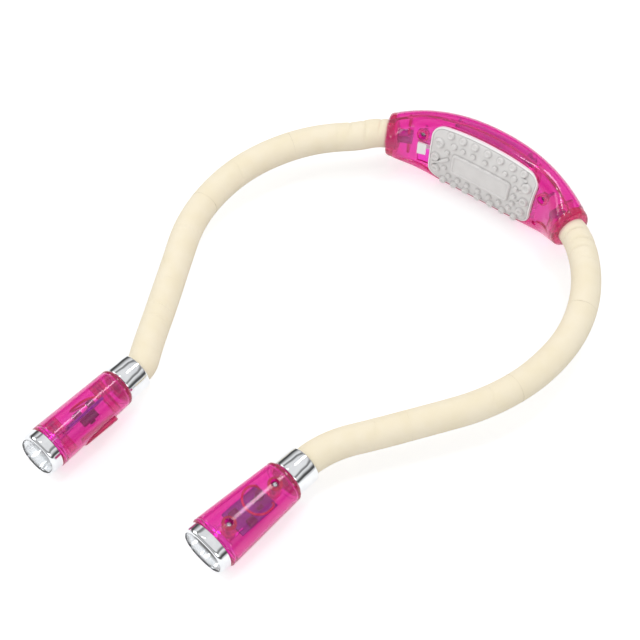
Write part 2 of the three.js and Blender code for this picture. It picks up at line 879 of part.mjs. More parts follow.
function contactSolid(side) {
  const top = cellHeight(cellCount - 1) + contactSpringRadius;
  const near = side * contactFace;
  const far = side * (contactFace + contactPlateThickness);
  const plate = block(
    new THREE.Vector3(Math.min(near, far), cellDepthPlace - contactPlateHalfDepth, -top),
    new THREE.Vector3(Math.max(near, far), cellDepthPlace + contactPlateHalfDepth, top),
    bayFrame,
  );
  const studs = Array.from({ length: cellCount }, (_, i) => {
    const tipHere = (i % 2 === 0 ? 1 : -1) === side;
    const reach = cellLength / 2 + (tipHere ? cellTipLength : 0) + clearance;
    const origin = new THREE.Vector3(0, cellDepthPlace, cellHeight(i)).applyMatrix4(bayFrame);
    const along = alongAxisAt(0).multiplyScalar(side);
    const frame = frameAt(origin, heightAxisAt(0), along.clone().cross(heightAxisAt(0)), along);
    const end = contactFace + contactPlateThickness / 2;
    return bar(contactSpringTopRadius, reach, end, frame, nubSides, contactSpringRadius);
  });
  return joined([plate, ...studs]);
}

// Arms
const stretches = [
  mouthStretch,
  rootStretch,
  rearStretch,
  middleStretch,
  frontStretch,
  headStretch,
  collarStretch,
];
const armLength = stretches.reduce((sum, length) => sum + length, 0);
const jointPlaces = [
  mouthStretch + rootStretch,
  mouthStretch + rootStretch + rearStretch,
  mouthStretch + rootStretch + rearStretch + middleStretch,
  mouthStretch + rootStretch + rearStretch + middleStretch + frontStretch,
];

class ArmRoute {
  constructor(side, turns, drop, pitch) {
    this.start = centreAt(side * housingHalfAngle);
    this.heading = side > 0 ? -housingHalfAngle : housingHalfAngle - 180;
    this.turns = turns;
    this.drop = drop;
    this.pitch = pitch;
  }

  headingAt(length) {
    let heading = this.heading;
    let left = Math.max(0, length);
    for (let i = 0; i < stretches.length; i++) {
      const share = Math.min(1, left / stretches[i]);
      heading += this.turns[i] * share;
      left = Math.max(0, left - stretches[i]);
    }
    return heading;
  }

  directionAt(length) {
    const heading = this.headingAt(length) * degrees;
    return new THREE.Vector3(Math.cos(heading), Math.sin(heading), 0);
  }

  // Each stretch is an arc: its chord is worked out exactly
  pointAt(length) {
    const place = this.start.clone();
    if (length < 0) {
      return place.addScaledVector(this.directionAt(0), length);
    }
    let heading = this.heading;
    let left = Math.min(length, armLength);
    for (let i = 0; i < stretches.length && left > 0; i++) {
      const run = Math.min(left, stretches[i]);
      const turn = (this.turns[i] * run) / stretches[i];
      const half = (turn / 2) * degrees;
      const chord = run * (half === 0 ? 1 : Math.sin(half) / half);
      const angle = (heading + turn / 2) * degrees;
      place.x += chord * Math.cos(angle);
      place.y += chord * Math.sin(angle);
      heading += turn;
      left -= run;
    }
    place.z -= (this.drop * Math.min(length, armLength)) / armLength;
    if (length > armLength) {
      place.addScaledVector(this.headAxis(), length - armLength);
    }
    return place;
  }

  headAxis() {
    const pitch = this.pitch * degrees;
    const axis = this.directionAt(armLength).multiplyScalar(Math.cos(pitch));
    return axis.addScaledVector(upward, -Math.sin(pitch));
  }
}

class RouteStretch extends THREE.Curve {
  constructor(route, from, to) {
    super();
    this.route = route;
    this.from = from;
    this.to = to;
  }

  getPoint(t, target = new THREE.Vector3()) {
    return target.copy(this.route.pointAt(this.from + (this.to - this.from) * t));
  }
}

function tube(route, from, to, outerRadius, innerRadius, tubeSides, step) {
  const shape = new THREE.Shape();
  shape.absarc(0, 0, outerRadius, 0, 2 * Math.PI);
  if (innerRadius > 0) {
    const hole = new THREE.Path();
    hole.absarc(0, 0, innerRadius, 0, 2 * Math.PI, true);
    shape.holes.push(hole);
  }
  const geometry = new THREE.ExtrudeGeometry(shape, {
    steps: Math.max(leastSteps, Math.round((to - from) / step)),
    curveSegments: tubeSides / 2,
    bevelEnabled: false,
    extrudePath: new RouteStretch(route, from, to),
  });
  return solidOf(geometry);
}

function sleeveSolid(route, from, to) {
  return tube(route, from, to, foamRadius, coreRadius + sleeveClearance, foamSides, foamStep);
}

// A core link: a ball at its far joint, a cup round the ball at its near joint
function coreSolid(route, from, to, cup, ball) {
  let solid = tube(route, from, to, coreRadius, 0, coreSides, coreStep);
  if (ball) {
    const end = route.pointAt(to);
    const sphere = new THREE.SphereGeometry(coreRadius * ballShare, coreSides, coreSides / 2);
    sphere.translate(end.x, end.y, end.z);
    solid = solid.add(solidOf(sphere));
  }
  if (cup) {
    const start = route.pointAt(from);
    const hollow = new THREE.SphereGeometry(coreRadius + 2 * clearance, coreSides, coreSides / 2);
    hollow.translate(start.x, start.y, start.z);
    solid = solid.subtract(solidOf(hollow));
  }
  return solid;
}

// Heads are modelled along their own X, from the collar's rear, with the screws towards +Z
const headFrame = new THREE.Matrix4();
const axisFrame = frameAt(
  new THREE.Vector3(),
  new THREE.Vector3(0, 1, 0),
  new THREE.Vector3(0, 0, 1),
  new THREE.Vector3(1, 0, 0),
);
const bodyRear = collarLength + clearance;
const bodyFront = bodyRear + bodyLength;
const bezelRear = bodyFront + clearance;
const headScrewPlaces = {
  screw_front: bodyFront - headScrewFrontInset,
  screw_rear: bodyRear + headScrewRearInset,
};
const boardRear = headScrewPlaces.screw_rear + boardScrewRoom;
const buttonRear = headScrewPlaces.screw_rear + buttonRearScrewRoom;
const buttonFront = headScrewPlaces.screw_front - buttonFrontScrewRoom;
const buttonLength = buttonFront - buttonRear;
const buttonCentre = (buttonFront + buttonRear) / 2;
const bezelFront = bezelRear + bezelLength;

function bodyHalfWidth(x) {
  const t = (x - bodyRear) / bodyLength;
  return bodyRearHalfWidth + (bodyFrontHalfWidth - bodyRearHalfWidth) * t;
}

function bodyHalfThickness(x) {
  const t = (x - bodyRear) / bodyLength;
  return bodyRearHalfThickness + (bodyFrontHalfThickness - bodyRearHalfThickness) * t;
}

function ovalRing(x, halfWidth, halfThickness) {
  const power = 2 / (2 + bodySquareness);
  const ring = [];
  for (let i = 0; i < headSectionPoints; i++) {
    const turn = (i / headSectionPoints) * 2 * Math.PI;
    const y = halfWidth * powered(Math.cos(turn), power);
    const z = halfThickness * powered(Math.sin(turn), power);
    ring.push(new THREE.Vector3(x, y, z));
  }
  return ring;
}

function bodyRing(x, inset) {
  return ovalRing(x, bodyHalfWidth(x) - inset, bodyHalfThickness(x) - inset);
}

const bodyForm = loft([
  bodyRing(bodyRear, bodyEdgeRound),
  bodyRing(bodyRear + bodyEdgeRound / 3, bodyEdgeRound / 3),
  bodyRing(bodyRear + bodyEdgeRound, 0),
  bodyRing((bodyRear + bodyFront) / 2, 0),
  bodyRing(bodyFront - bodyEdgeRound / 2, 0),
  bodyRing(bodyFront, bodyEdgeRound / 2),
]);
const bodyCavity = loft([
  bodyRing(bodyRear + bodyWall, bodyWall),
  bodyRing(bodyFront + overrun, bodyWall),
]);
const bossForm = loft([bodyRing(bodyRear, bodyWall / 2), bodyRing(bodyFront, bodyWall / 2)]);
const neckPlug = bar(foamRadius, bodyRear - neckPlugLength, bodyRear + bodyWall, axisFrame);
const neckBore = bar(
  coreRadius + clearance,
  bodyRear - neckPlugLength - overrun,
  bodyRear + bodyWall + overrun,
  axisFrame,
  coreSides,
);
const headReach = bodyFrontHalfWidth + overrun;

function headHalf(side) {
  const near = (side * clearance) / 2;
  const far = side * headReach;
  return block(
    new THREE.Vector3(0, -headReach, Math.min(near, far)),
    new THREE.Vector3(bezelFront, headReach, Math.max(near, far)),
    headFrame,
  );
}

function headScrewFrame(place) {
  const origin = new THREE.Vector3(place, headScrewOffset, 0);
  const down = new THREE.Vector3(0, 0, -1);
  return frameAt(origin, new THREE.Vector3(1, 0, 0), new THREE.Vector3(0, -1, 0), down);
}

const headPlaces = Object.values(headScrewPlaces);
const headWellFloor = headScrewFloor + screwFloorThickness;
const headTubes = joined(
  headPlaces.map((place) =>
    bar(screwRecessRadius + screwTubeWall, -headReach, -clearance / 2, headScrewFrame(place), screwSides),
  ),
).intersect(bossForm);
const headWells = joined(
  headPlaces.map((place) => {
    const frame = headScrewFrame(place);
    const well = bar(screwRecessRadius, -headReach, -headWellFloor, frame, screwSides);
    return well.add(bar(screwShankRadius + clearance, -headReach, headReach, frame, screwSides));
  }),
);
const headBosses = joined(
  headPlaces.map((place) => bar(headBossRadius, 0, headReach, headScrewFrame(place), screwSides)),
).intersect(bossForm);
const headPilots = joined(
  headPlaces.map((place) => {
    const depth = bodyRearHalfThickness - bodyWall - clearance;
    return bar(screwShankRadius + clearance, -overrun, depth, headScrewFrame(place), screwSides);
  }),
);
const headShellWork = bodyForm.subtract(bodyCavity).add(neckPlug);
const screwSideShell = headShellWork
  .add(headTubes)
  .intersect(headHalf(1))
  .subtract(headWells)
  .subtract(neckBore);

// Push button: a long oval in a slot, kept in by flanges below the shell
const buttonSlope = Math.atan((bodyFrontHalfThickness - bodyRearHalfThickness) / bodyLength);
const buttonOut = new THREE.Vector3(Math.sin(buttonSlope), 0, -Math.cos(buttonSlope));
const buttonAlong = new THREE.Vector3(Math.cos(buttonSlope), 0, Math.sin(buttonSlope)).negate();
const buttonOrigin = new THREE.Vector3(buttonCentre, 0, -bodyHalfThickness(buttonCentre));
const buttonAcross = new THREE.Vector3().crossVectors(buttonOut, buttonAlong);
const buttonFrame = frameAt(buttonOrigin, buttonAlong, buttonAcross, buttonOut);

// A long oval with straight sides, at a height of a frame
function longOvalRing(length, width, inset, height, frame) {
  const radius = width / 2 - inset;
  const half = (length - width) / 2;
  const ring = [];
  for (const end of [1, -1]) {
    for (const turn of spread(-Math.PI / 2, Math.PI / 2, cornerSteps + 1)) {
      const x = end * (half + radius * Math.cos(turn));
      const y = end * radius * Math.sin(turn);
      ring.push(new THREE.Vector3(x, y, height).applyMatrix4(frame));
    }
  }
  return ring;
}

function ovalPrism(length, width, from, to, round, frame) {
  const rings = [longOvalRing(length, width, 0, from, frame)];
  for (const turn of round > 0 ? spread(0, Math.PI / 2, cornerSteps - 1) : [0]) {
    const inset = round * (1 - Math.cos(turn));
    const height = to - round * (1 - Math.sin(turn));
    rings.push(longOvalRing(length, width, inset, height, frame));
  }
  return loft(rings);
}

const flangeTop = -bodyWall - clearance;
const flangeLow = flangeTop - buttonFlangeThickness;
const buttonCap = ovalPrism(buttonLength, buttonWidth, flangeLow, buttonProud, buttonRound, buttonFrame);
const flangeHalfLength = buttonLength / 2 - buttonWidth / 2;
const flangeHalfWidth = buttonWidth / 2 + buttonFlangeWidth;
const buttonFlange = block(
  new THREE.Vector3(-flangeHalfLength, -flangeHalfWidth, flangeLow),
  new THREE.Vector3(flangeHalfLength, flangeHalfWidth, flangeTop),
  buttonFrame,
).intersect(
  loft([
    bodyRing(bodyRear + bodyWall, bodyWall + clearance),
    bodyRing(bodyFront, bodyWall + clearance),
  ]),
);
const buttonSolid = buttonCap.add(buttonFlange);
const buttonSlot = ovalPrism(
  buttonLength + 2 * clearance,
  buttonWidth + 2 * clearance,
  -bodyWall - overrun,
  overrun,
  0,
  buttonFrame,
);
const railTop = -boardThickness / 2 - clearance;
const rails = joined(
  sides.map((side) => {
    const inner = side * (boardWidth / 2 - railWidth / 2);
    const outer = side * (bodyFrontHalfWidth - bodyWall);
    return block(
      new THREE.Vector3(buttonCentre - railLength / 2, Math.min(inner, outer), railTop - railThickness),
      new THREE.Vector3(buttonCentre + railLength / 2, Math.max(inner, outer), railTop),
      headFrame,
    );
  }),
).intersect(bossForm);
const buttonSideShell = headShellWork
  .add(headBosses)
  .add(rails)
  .intersect(headHalf(-1))
  .subtract(headPilots)
  .subtract(buttonSlot)
  .subtract(neckBore);

const collarSolid = turned(
  [
    [foamRadius + clearance, 0],
    [collarRadius - collarEdgeRound, 0],
    [collarRadius, collarEdgeRound],
    [collarRadius, collarLength - collarEdgeRound],
    [collarRadius - collarEdgeRound, collarLength],
    [foamRadius + clearance, collarLength],
    [foamRadius + clearance, 0],
  ],
  axisFrame,
);

// Bezel with two reflector cups that run into each other
const lensRear = bezelFront - lensSetback - lensThickness;
const cupFront = lensRear - clearance;
const cupRear = cupFront - cupDepth;
const bezelBlank = loft([
  ovalRing(bezelRear, bezelHalfWidth - clearance, bezelHalfThickness - clearance),
  ovalRing(bezelRear + clearance, bezelHalfWidth, bezelHalfThickness),
  ovalRing(bezelFront - bezelFrontRound, bezelHalfWidth, bezelHalfThickness),
  ovalRing(
    bezelFront - bezelFrontRound / 3,
    bezelHalfWidth - bezelFrontRound / 3,
    bezelHalfThickness - bezelFrontRound / 3,
  ),
  ovalRing(bezelFront, bezelHalfWidth - bezelFrontRound, bezelHalfThickness - bezelFrontRound),
]);
const bezelPlug = loft([
  ovalRing(bezelRear - bezelPlugLength, bezelPlugHalfWidth, bezelPlugHalfThickness),
  ovalRing(bezelRear + clearance, bezelPlugHalfWidth, bezelPlugHalfThickness),
]);
const lensSeat = loft([
  ovalRing(cupFront, lensHalfWidth + clearance, lensHalfThickness + clearance),
  ovalRing(bezelFront + overrun, lensHalfWidth + clearance, lensHalfThickness + clearance),
]);

function ledFrame(side) {
  const origin = new THREE.Vector3(0, (side * ledSpacing) / 2, 0);
  return axisFrame.clone().setPosition(origin);
}

function cupCut(side) {
  const profile = [[0, cupRear]];
  for (const t of spread(0, 1, cornerSteps)) {
    const radius = Math.sqrt(cupRearRadius ** 2 + (cupFrontRadius ** 2 - cupRearRadius ** 2) * t);
    profile.push([radius, cupRear + cupDepth * t]);
  }
  profile.push([cupFrontRadius, cupFront + overrun]);
  profile.push([0, cupFront + overrun]);
  const back = bar(ledRadius + clearance, bodyRear, cupRear + overrun, ledFrame(side), ledSides);
  return turned(profile, ledFrame(side), cupSides).add(back);
}

const bezelSolid = bezelBlank.add(bezelPlug).subtract(lensSeat).subtract(joined(sides.map(cupCut)));
const lensSolid = loft([
  ovalRing(lensRear, lensHalfWidth, lensHalfThickness),
  ovalRing(lensRear + lensThickness, lensHalfWidth, lensHalfThickness),
]);
const boardFront = headScrewPlaces.screw_front - boardScrewRoom;

function ledSolid(side) {
  const base = cupRear + ledIntoCup - ledLength;
  const dome = spread(0, Math.PI / 2, cornerSteps).map((turn) => [
    ledRadius * Math.cos(turn),
    base + ledLength - ledRadius + ledRadius * Math.sin(turn),
  ]);
  dome[dome.length - 1][0] = 0;
  const profile = [
    [0, base],
    [ledFlangeRadius, base],
    [ledFlangeRadius, base + ledFlangeThickness],
    [ledRadius, base + ledFlangeThickness],
    ...dome,
  ];
  const body = turned(profile, ledFrame(side), ledSides);
  const legs = sides.map((legSide) => {
    const y = (side * ledSpacing) / 2;
    const z = (legSide * ledLegSpacing) / 2;
    return block(
      new THREE.Vector3(boardFront - ledLegOverlap, y - ledLegWidth / 2, z - ledLegWidth / 2),
      new THREE.Vector3(base + ledFlangeThickness / 2, y + ledLegWidth / 2, z + ledLegWidth / 2),
      headFrame,
    );
  });
  return joined([body, ...legs]);
}

const boardSolid = block(
  new THREE.Vector3(boardRear, -boardWidth / 2, -boardThickness / 2),
  new THREE.Vector3(boardFront, boardWidth / 2, boardThickness / 2),
  headFrame,
);
const switchTop = -boardThickness / 2 - clearance;
const switchSolid = block(
  new THREE.Vector3(buttonCentre - switchSize / 2, -switchSize / 2, switchTop - switchHeight),
  new THREE.Vector3(buttonCentre + switchSize / 2, switchSize / 2, switchTop),
  headFrame,
).add(
  bar(
    plungerRadius,
    switchTop - switchHeight - plungerHeight,
    switchTop - switchHeight + plungerHeight,
    new THREE.Matrix4().makeTranslation(buttonCentre, 0, 0),
    nubSides,
  ),
);

// A loop of lead above the board
const wireFoot = boardThickness / 2 + clearance;
const wireShoulder = wireFoot + wireLoopHeight * wireShoulderShare;
const wireRoute = new THREE.CatmullRomCurve3([
  new THREE.Vector3(boardFront - wireLead * wireFootLeads, -wireLoopWidth / 2, wireFoot),
  new THREE.Vector3(boardFront - wireLead * wireShoulderLeads, -wireLoopWidth / 2, wireShoulder),
  new THREE.Vector3(buttonCentre, wireLoopWidth, wireFoot + wireLoopHeight),
  new THREE.Vector3(boardRear + wireLead * wireShoulderLeads, wireLoopWidth, wireShoulder),
  new THREE.Vector3(boardRear + wireLead * wireFootLeads, wireLoopWidth / 2, wireFoot),
]);
const wireSection = new THREE.Shape();
wireSection.absarc(0, 0, wireRadius, 0, 2 * Math.PI);
const wireSolid = solidOf(
  new THREE.ExtrudeGeometry(wireSection, {
    steps: wireSteps,
    curveSegments: wireSides / 2,
    bevelEnabled: false,
    extrudePath: wireRoute,
  }),
);

// Scene graph: one group for each moving body, its origin on the joint
const light = new THREE.Group();
light.name = "neck_reading_light";

function carry(group, name, solid, material) {
  const mesh = new THREE.Mesh(geometryOf(solid), material);
  mesh.name = name;
  light.updateMatrixWorld(true);
  const parentWorld = group.matrixWorld.clone().invert();
  mesh.applyMatrix4(parentWorld);
  group.add(mesh);
}

function body(parent, name, pivot, axis) {
  const group = new THREE.Group();
  group.name = name;
  light.updateMatrixWorld(true);
  group.position.copy(parent.worldToLocal(pivot.clone()));
  group.userData.axis = axis.toArray();
  parent.add(group);
  light.updateMatrixWorld(true);
  return group;
}

carry(light, "housing_back_shell", backShell, clearMagenta);
carry(light, "housing_face_shell", faceShell, clearMagenta);
screwPlaces.forEach((place, i) => {
  carry(light, `housing_screw_${i + 1}`, screwSolid(screwFrame(place), housingScrewTop), screwSteel);
});
for (let i = 0; i < cellCount; i++) {
  carry(light, `battery_${i + 1}`, cellSolid(i), cellJacket);
}
carry(light, "battery_contact_left", contactSolid(-1), springSteel);
carry(light, "battery_contact_right", contactSolid(1), springSteel);

// Door: swings about the upright edge over its tongues
const hingePlace = new THREE.Vector3(0, 0, doorProud).applyMatrix4(faceFrame(tongueAngle, 0));
const door = body(light, "battery_door_swing", hingePlace, heightAxisAt(0));
carry(door, "battery_door", doorSolid, whitePlastic);
carry(door, "neck_pad", padSolid, softGrey);
const latchPivot = new THREE.Vector3(latchStemThickness / 2, 0, -latchStemDepth).applyMatrix4(latchFrame);
const latchAxis = new THREE.Vector3().setFromMatrixColumn(latchFrame, 1).negate();
const latch = body(door, "door_latch_flex", latchPivot, latchAxis);
carry(latch, "door_latch", latchSolid, whitePlastic);

function buildArm(side, label, turns, drop, pitch, roll) {
  const route = new ArmRoute(side, turns, drop, pitch);
  const names = ["housing_end", "rear", "middle", "front", "head_end"];
  const jointNames = ["swing_rear", "lift", "swing_front", "head_tilt"];
  let group = light;
  names.forEach((name, i) => {
    const first = i === 0;
    const last = i === names.length - 1;
    if (!first) {
      const pivot = route.pointAt(jointPlaces[i - 1]);
      const swings = i % 2 === 1;
      const axis = swings ? upward.clone() : upward.clone().cross(route.directionAt(jointPlaces[i - 1]));
      group = body(group, `${label}_${jointNames[i - 1]}`, pivot, axis);
    }
    const coreFrom = first ? -coreIntoHousing : jointPlaces[i - 1];
    const coreTo = last ? armLength + coreIntoHead : jointPlaces[i];
    const foamFrom = first ? -foamIntoHousing : jointPlaces[i - 1] + clearance / 2;
    const foamTo = last ? armLength + foamIntoCollar : jointPlaces[i] - clearance / 2;
    carry(group, `${label}_core_${name}`, coreSolid(route, coreFrom, coreTo, !first, !last), coreMetal);
    carry(group, `${label}_foam_${name}`, sleeveSolid(route, foamFrom, foamTo), foam);
  });

  // The head's own frame: X along its axis, turned about it by the roll
  const forward = route.headAxis();
  const across = upward.clone().cross(forward).normalize();
  const lift = forward.clone().cross(across);
  const frame = frameAt(route.pointAt(armLength), forward, across, lift);
  frame.multiply(new THREE.Matrix4().makeRotationX(roll * degrees));
  const head = new THREE.Group();
  head.name = `${label.replace("_arm", "")}_head`;
  group.add(head);
  light.updateMatrixWorld(true);
  head.applyMatrix4(group.matrixWorld.clone().invert().multiply(frame));
  light.updateMatrixWorld(true);
  const place = (name, solid, material) => {
    const mesh = new THREE.Mesh(geometryOf(solid), material);
    mesh.name = `${head.name}_${name}`;
    head.add(mesh);
  };
  place("collar", collarSolid, chrome);
  place("screw_side_shell", screwSideShell, clearMagenta);
  place("button_side_shell", buttonSideShell, clearMagenta);
  place("bezel", bezelSolid, chrome);
  place("lens", lensSolid, clearLens);
  place("led_1", ledSolid(-1), ledEpoxy);
  place("led_2", ledSolid(1), ledEpoxy);
  place("board", boardSolid, boardResin);
  place("switch", switchSolid, switchBlack);
  place("wire_red", wireSolid, redWire);
  for (const [name, x] of Object.entries(headScrewPlaces)) {
    const screwTop = -headWellFloor - clearance - screwHeadHeight;
    place(name, screwSolid(headScrewFrame(x), screwTop), screwSteel);
  }
  const press = new THREE.Group();
  press.name = `${head.name}_button_press`;
  press.position.copy(buttonOrigin);
  press.userData.axis = buttonOut.clone().negate().transformDirection(frame).toArray();
  head.add(press);
  const button = new THREE.Mesh(geometryOf(buttonSolid), clearMagenta);
  button.name = `${head.name}_button`;
  button.position.copy(buttonOrigin).negate();
  press.add(button);
}

buildArm(-1, "left_arm", leftTurns, leftDrop, leftHeadPitch, leftHeadRoll);
buildArm(1, "right_arm", rightTurns, rightDrop, rightHeadPitch, rightHeadRoll);

// The origin sits below the middle of the whole light, on the surface that it lies on
light.updateMatrixWorld(true);
const bounds = new THREE.Box3().setFromObject(light, true);
const middle = bounds.getCenter(new THREE.Vector3());
const group = new THREE.Group();
light.position.set(-middle.x, -middle.y, -bounds.min.z);
group.add(light);

export default group;
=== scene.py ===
# %% [markdown]
# # A neck reading light in Blender
# The light hangs round a reader's neck: a curved battery housing lies on the nape, and two bendable
# arms in foam sleeves carry small lamp heads to the front. The engineering model is loaded first as a
# fixed frame, so that every visual piece goes where the moving bodies are, in metres.

# %% Load the frame
import math
import bpy
from mathutils import Matrix, Vector


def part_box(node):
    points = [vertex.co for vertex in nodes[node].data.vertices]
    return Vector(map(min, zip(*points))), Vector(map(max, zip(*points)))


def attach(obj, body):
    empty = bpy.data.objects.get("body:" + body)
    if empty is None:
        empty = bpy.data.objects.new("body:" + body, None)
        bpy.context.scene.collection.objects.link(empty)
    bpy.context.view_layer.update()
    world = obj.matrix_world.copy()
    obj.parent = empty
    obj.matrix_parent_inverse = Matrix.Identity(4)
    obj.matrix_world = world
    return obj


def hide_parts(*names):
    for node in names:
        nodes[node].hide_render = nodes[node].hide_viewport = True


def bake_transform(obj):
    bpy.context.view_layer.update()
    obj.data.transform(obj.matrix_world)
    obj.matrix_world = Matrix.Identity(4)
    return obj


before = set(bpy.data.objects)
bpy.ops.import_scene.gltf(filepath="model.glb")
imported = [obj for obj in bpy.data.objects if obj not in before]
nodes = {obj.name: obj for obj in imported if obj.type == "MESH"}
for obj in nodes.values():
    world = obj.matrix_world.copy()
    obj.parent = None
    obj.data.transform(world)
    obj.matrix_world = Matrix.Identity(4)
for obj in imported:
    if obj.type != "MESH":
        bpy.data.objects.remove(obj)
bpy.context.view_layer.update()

# %% [markdown]
# ## Small helpers
# Blender's operators act on whatever is selected, so each helper first clears the selection. Sizes are
# written in millimetres, as on a drawing, and turned to metres where a mesh is made.

# %% Selection, modifiers and cuts
MM = 0.001


def pick(piece):
    bpy.ops.object.select_all(action="DESELECT")
    piece.select_set(True)
    bpy.context.view_layer.objects.active = piece


def bake(piece, kind, **settings):
    pick(piece)
    modifier = piece.modifiers.new(kind.title(), kind)
    for key, value in settings.items():
        setattr(modifier, key, value)
    bpy.ops.object.modifier_apply(modifier=modifier.name)
    return piece


def carve(piece, tool, operation="DIFFERENCE", keep_tool=False):
    bake(piece, "BOOLEAN", object=tool, operation=operation, solver="EXACT")
    if not keep_tool:
        bpy.data.objects.remove(tool)
    return piece


def copy_of(piece, name):
    twin = piece.copy()
    twin.data = piece.data.copy()
    twin.name = name
    bpy.context.scene.collection.objects.link(twin)
    return twin


def weld(piece, distance=0.002, fill=False):
    """Merge points closer than a distance in mm, close open ends if asked, and turn faces outward."""
    pick(piece)
    bpy.ops.object.mode_set(mode="EDIT")
    bpy.ops.mesh.select_all(action="SELECT")
    bpy.ops.mesh.remove_doubles(threshold=distance * MM)
    if fill:
        bpy.ops.mesh.fill_holes(sides=0)
    bpy.ops.mesh.normals_make_consistent(inside=False)
    bpy.ops.object.mode_set(mode="OBJECT")
    return piece


def joined(pieces, name):
    bpy.ops.object.select_all(action="DESELECT")
    for piece in pieces:
        piece.select_set(True)
    bpy.context.view_layer.objects.active = pieces[0]
    bpy.ops.object.join()
    pieces[0].name = name
    return pieces[0]


print("helpers: pick, bake, carve, copy_of, weld, joined")

# %% [markdown]
# ## Forms from a bent grid
# Moulded shells, sleeves and turned parts all have one thing in common: a section that changes along a
# line. They could be modelled by hand from cylinders, but then a swell or a lip is hard to keep even.
# Here Blender's grid is bent by a formula: one side of it runs along the form, the other goes round.

# %% A grid bent into a closed form
def skin(name, place, rows, sides):
    """place(u, v) gives a point in mm: u is the share along the form, v the share round it."""
    bpy.ops.object.select_all(action="DESELECT")
    bpy.ops.mesh.primitive_grid_add(x_subdivisions=rows, y_subdivisions=sides, size=2)
    piece = bpy.context.object
    piece.name = name
    for vert in piece.data.vertices:
        vert.co = place((vert.co.x + 1) / 2, (vert.co.y + 1) / 2) * MM
    return weld(piece, 0.0005, fill=True)


def pick_ring(rings, u):
    """The ring of a list that a share along the form falls on."""
    return rings[round(u * (len(rings) - 1))]


def smoothstep(t):
    t = min(1, max(0, t))
    return t * t * (3 - 2 * t)


def along_list(values, u):
    """The value at share u of a list, straight between its entries."""
    at = u * (len(values) - 1)
    i = min(int(at), len(values) - 2)
    return values[i] + (values[i + 1] - values[i]) * (at - i)


def turned(name, profile, sides, matrix):
    """A lathe form: the profile is (radius, height) in mm, and it turns about the frame's Z."""
    radii, heights = zip(*profile)

    def place(u, v):
        radius, height = along_list(radii, u), along_list(heights, u)
        angle = v * 2 * math.pi
        return matrix @ Vector((radius * math.cos(angle), radius * math.sin(angle), height))

    return skin(name, place, len(profile) - 1, sides)


# %% Blocks, rods and frames
def frame_at(spot, along, across, out):
    """A frame at a spot, from the directions of its three axes."""
    return Matrix.Translation(spot) @ Matrix((along, across, out)).transposed().to_4x4()


def block(name, low, high, matrix, bevel=0.0):
    """A primitive cube stretched between two corners of a frame, with its edges rounded."""
    bpy.ops.object.select_all(action="DESELECT")
    bpy.ops.mesh.primitive_cube_add(size=1)
    piece = bpy.context.object
    piece.name = name
    low, high = Vector(low), Vector(high)
    for vert in piece.data.vertices:
        share = vert.co + Vector((0.5, 0.5, 0.5))
        spot = Vector([low[i] + (high[i] - low[i]) * share[i] for i in range(3)])
        vert.co = (matrix @ spot) * MM
    weld(piece)
    if bevel:
        bake(piece, "BEVEL", width=bevel * MM, segments=3)
    return piece


def rod(name, radius, low_end, high_end, matrix, sides=40, high_radius=None):
    """A primitive cylinder, or a cone where its far radius differs, set along a frame's Z."""
    bpy.ops.object.select_all(action="DESELECT")
    far = radius if high_radius is None else high_radius
    bpy.ops.mesh.primitive_cone_add(vertices=sides, radius1=radius, radius2=far, depth=high_end - low_end)
    piece = bpy.context.object
    piece.name = name
    middle = Vector((0, 0, (low_end + high_end) / 2))
    for vert in piece.data.vertices:
        vert.co = (matrix @ (vert.co + middle)) * MM
    return weld(piece)


print("forms: skin, turned, block, rod")

# %% [markdown]
# ## Finishes
# Each material starts from what the real one is. A photo texture would carry one light and one
# place with it, so every pattern is made of noise. It reads Object coordinates, which stay with the
# piece when it moves, and its scale comes from real sizes in millimetres. Colours are written as sRGB
# hex values, as a colour picker gives them, and one function turns them to the linear values that
# the shader wants.

# %% Colour and node helpers
RAMP_STOPS = (0.35, 0.65)


def srgb(code):
    shares = [int(code[i:i + 2], 16) / 255 for i in (1, 3, 5)]
    linear = [s / 12.92 if s <= 0.04045 else ((s + 0.055) / 1.055) ** 2.4 for s in shares]
    return (*linear, 1)


def add(tree, kind, inputs=None, **settings):
    node = tree.nodes.new(kind)
    for key, value in settings.items():
        setattr(node, key, value)
    for key, value in (inputs or {}).items():
        if isinstance(value, bpy.types.NodeSocket):
            tree.links.new(value, node.inputs[key])
        else:
            node.inputs[key].default_value = value
    return node


def per_mm(size):
    """The noise scale, on coordinates in metres, whose marks are about this many mm wide."""
    return 1 / (size * MM)


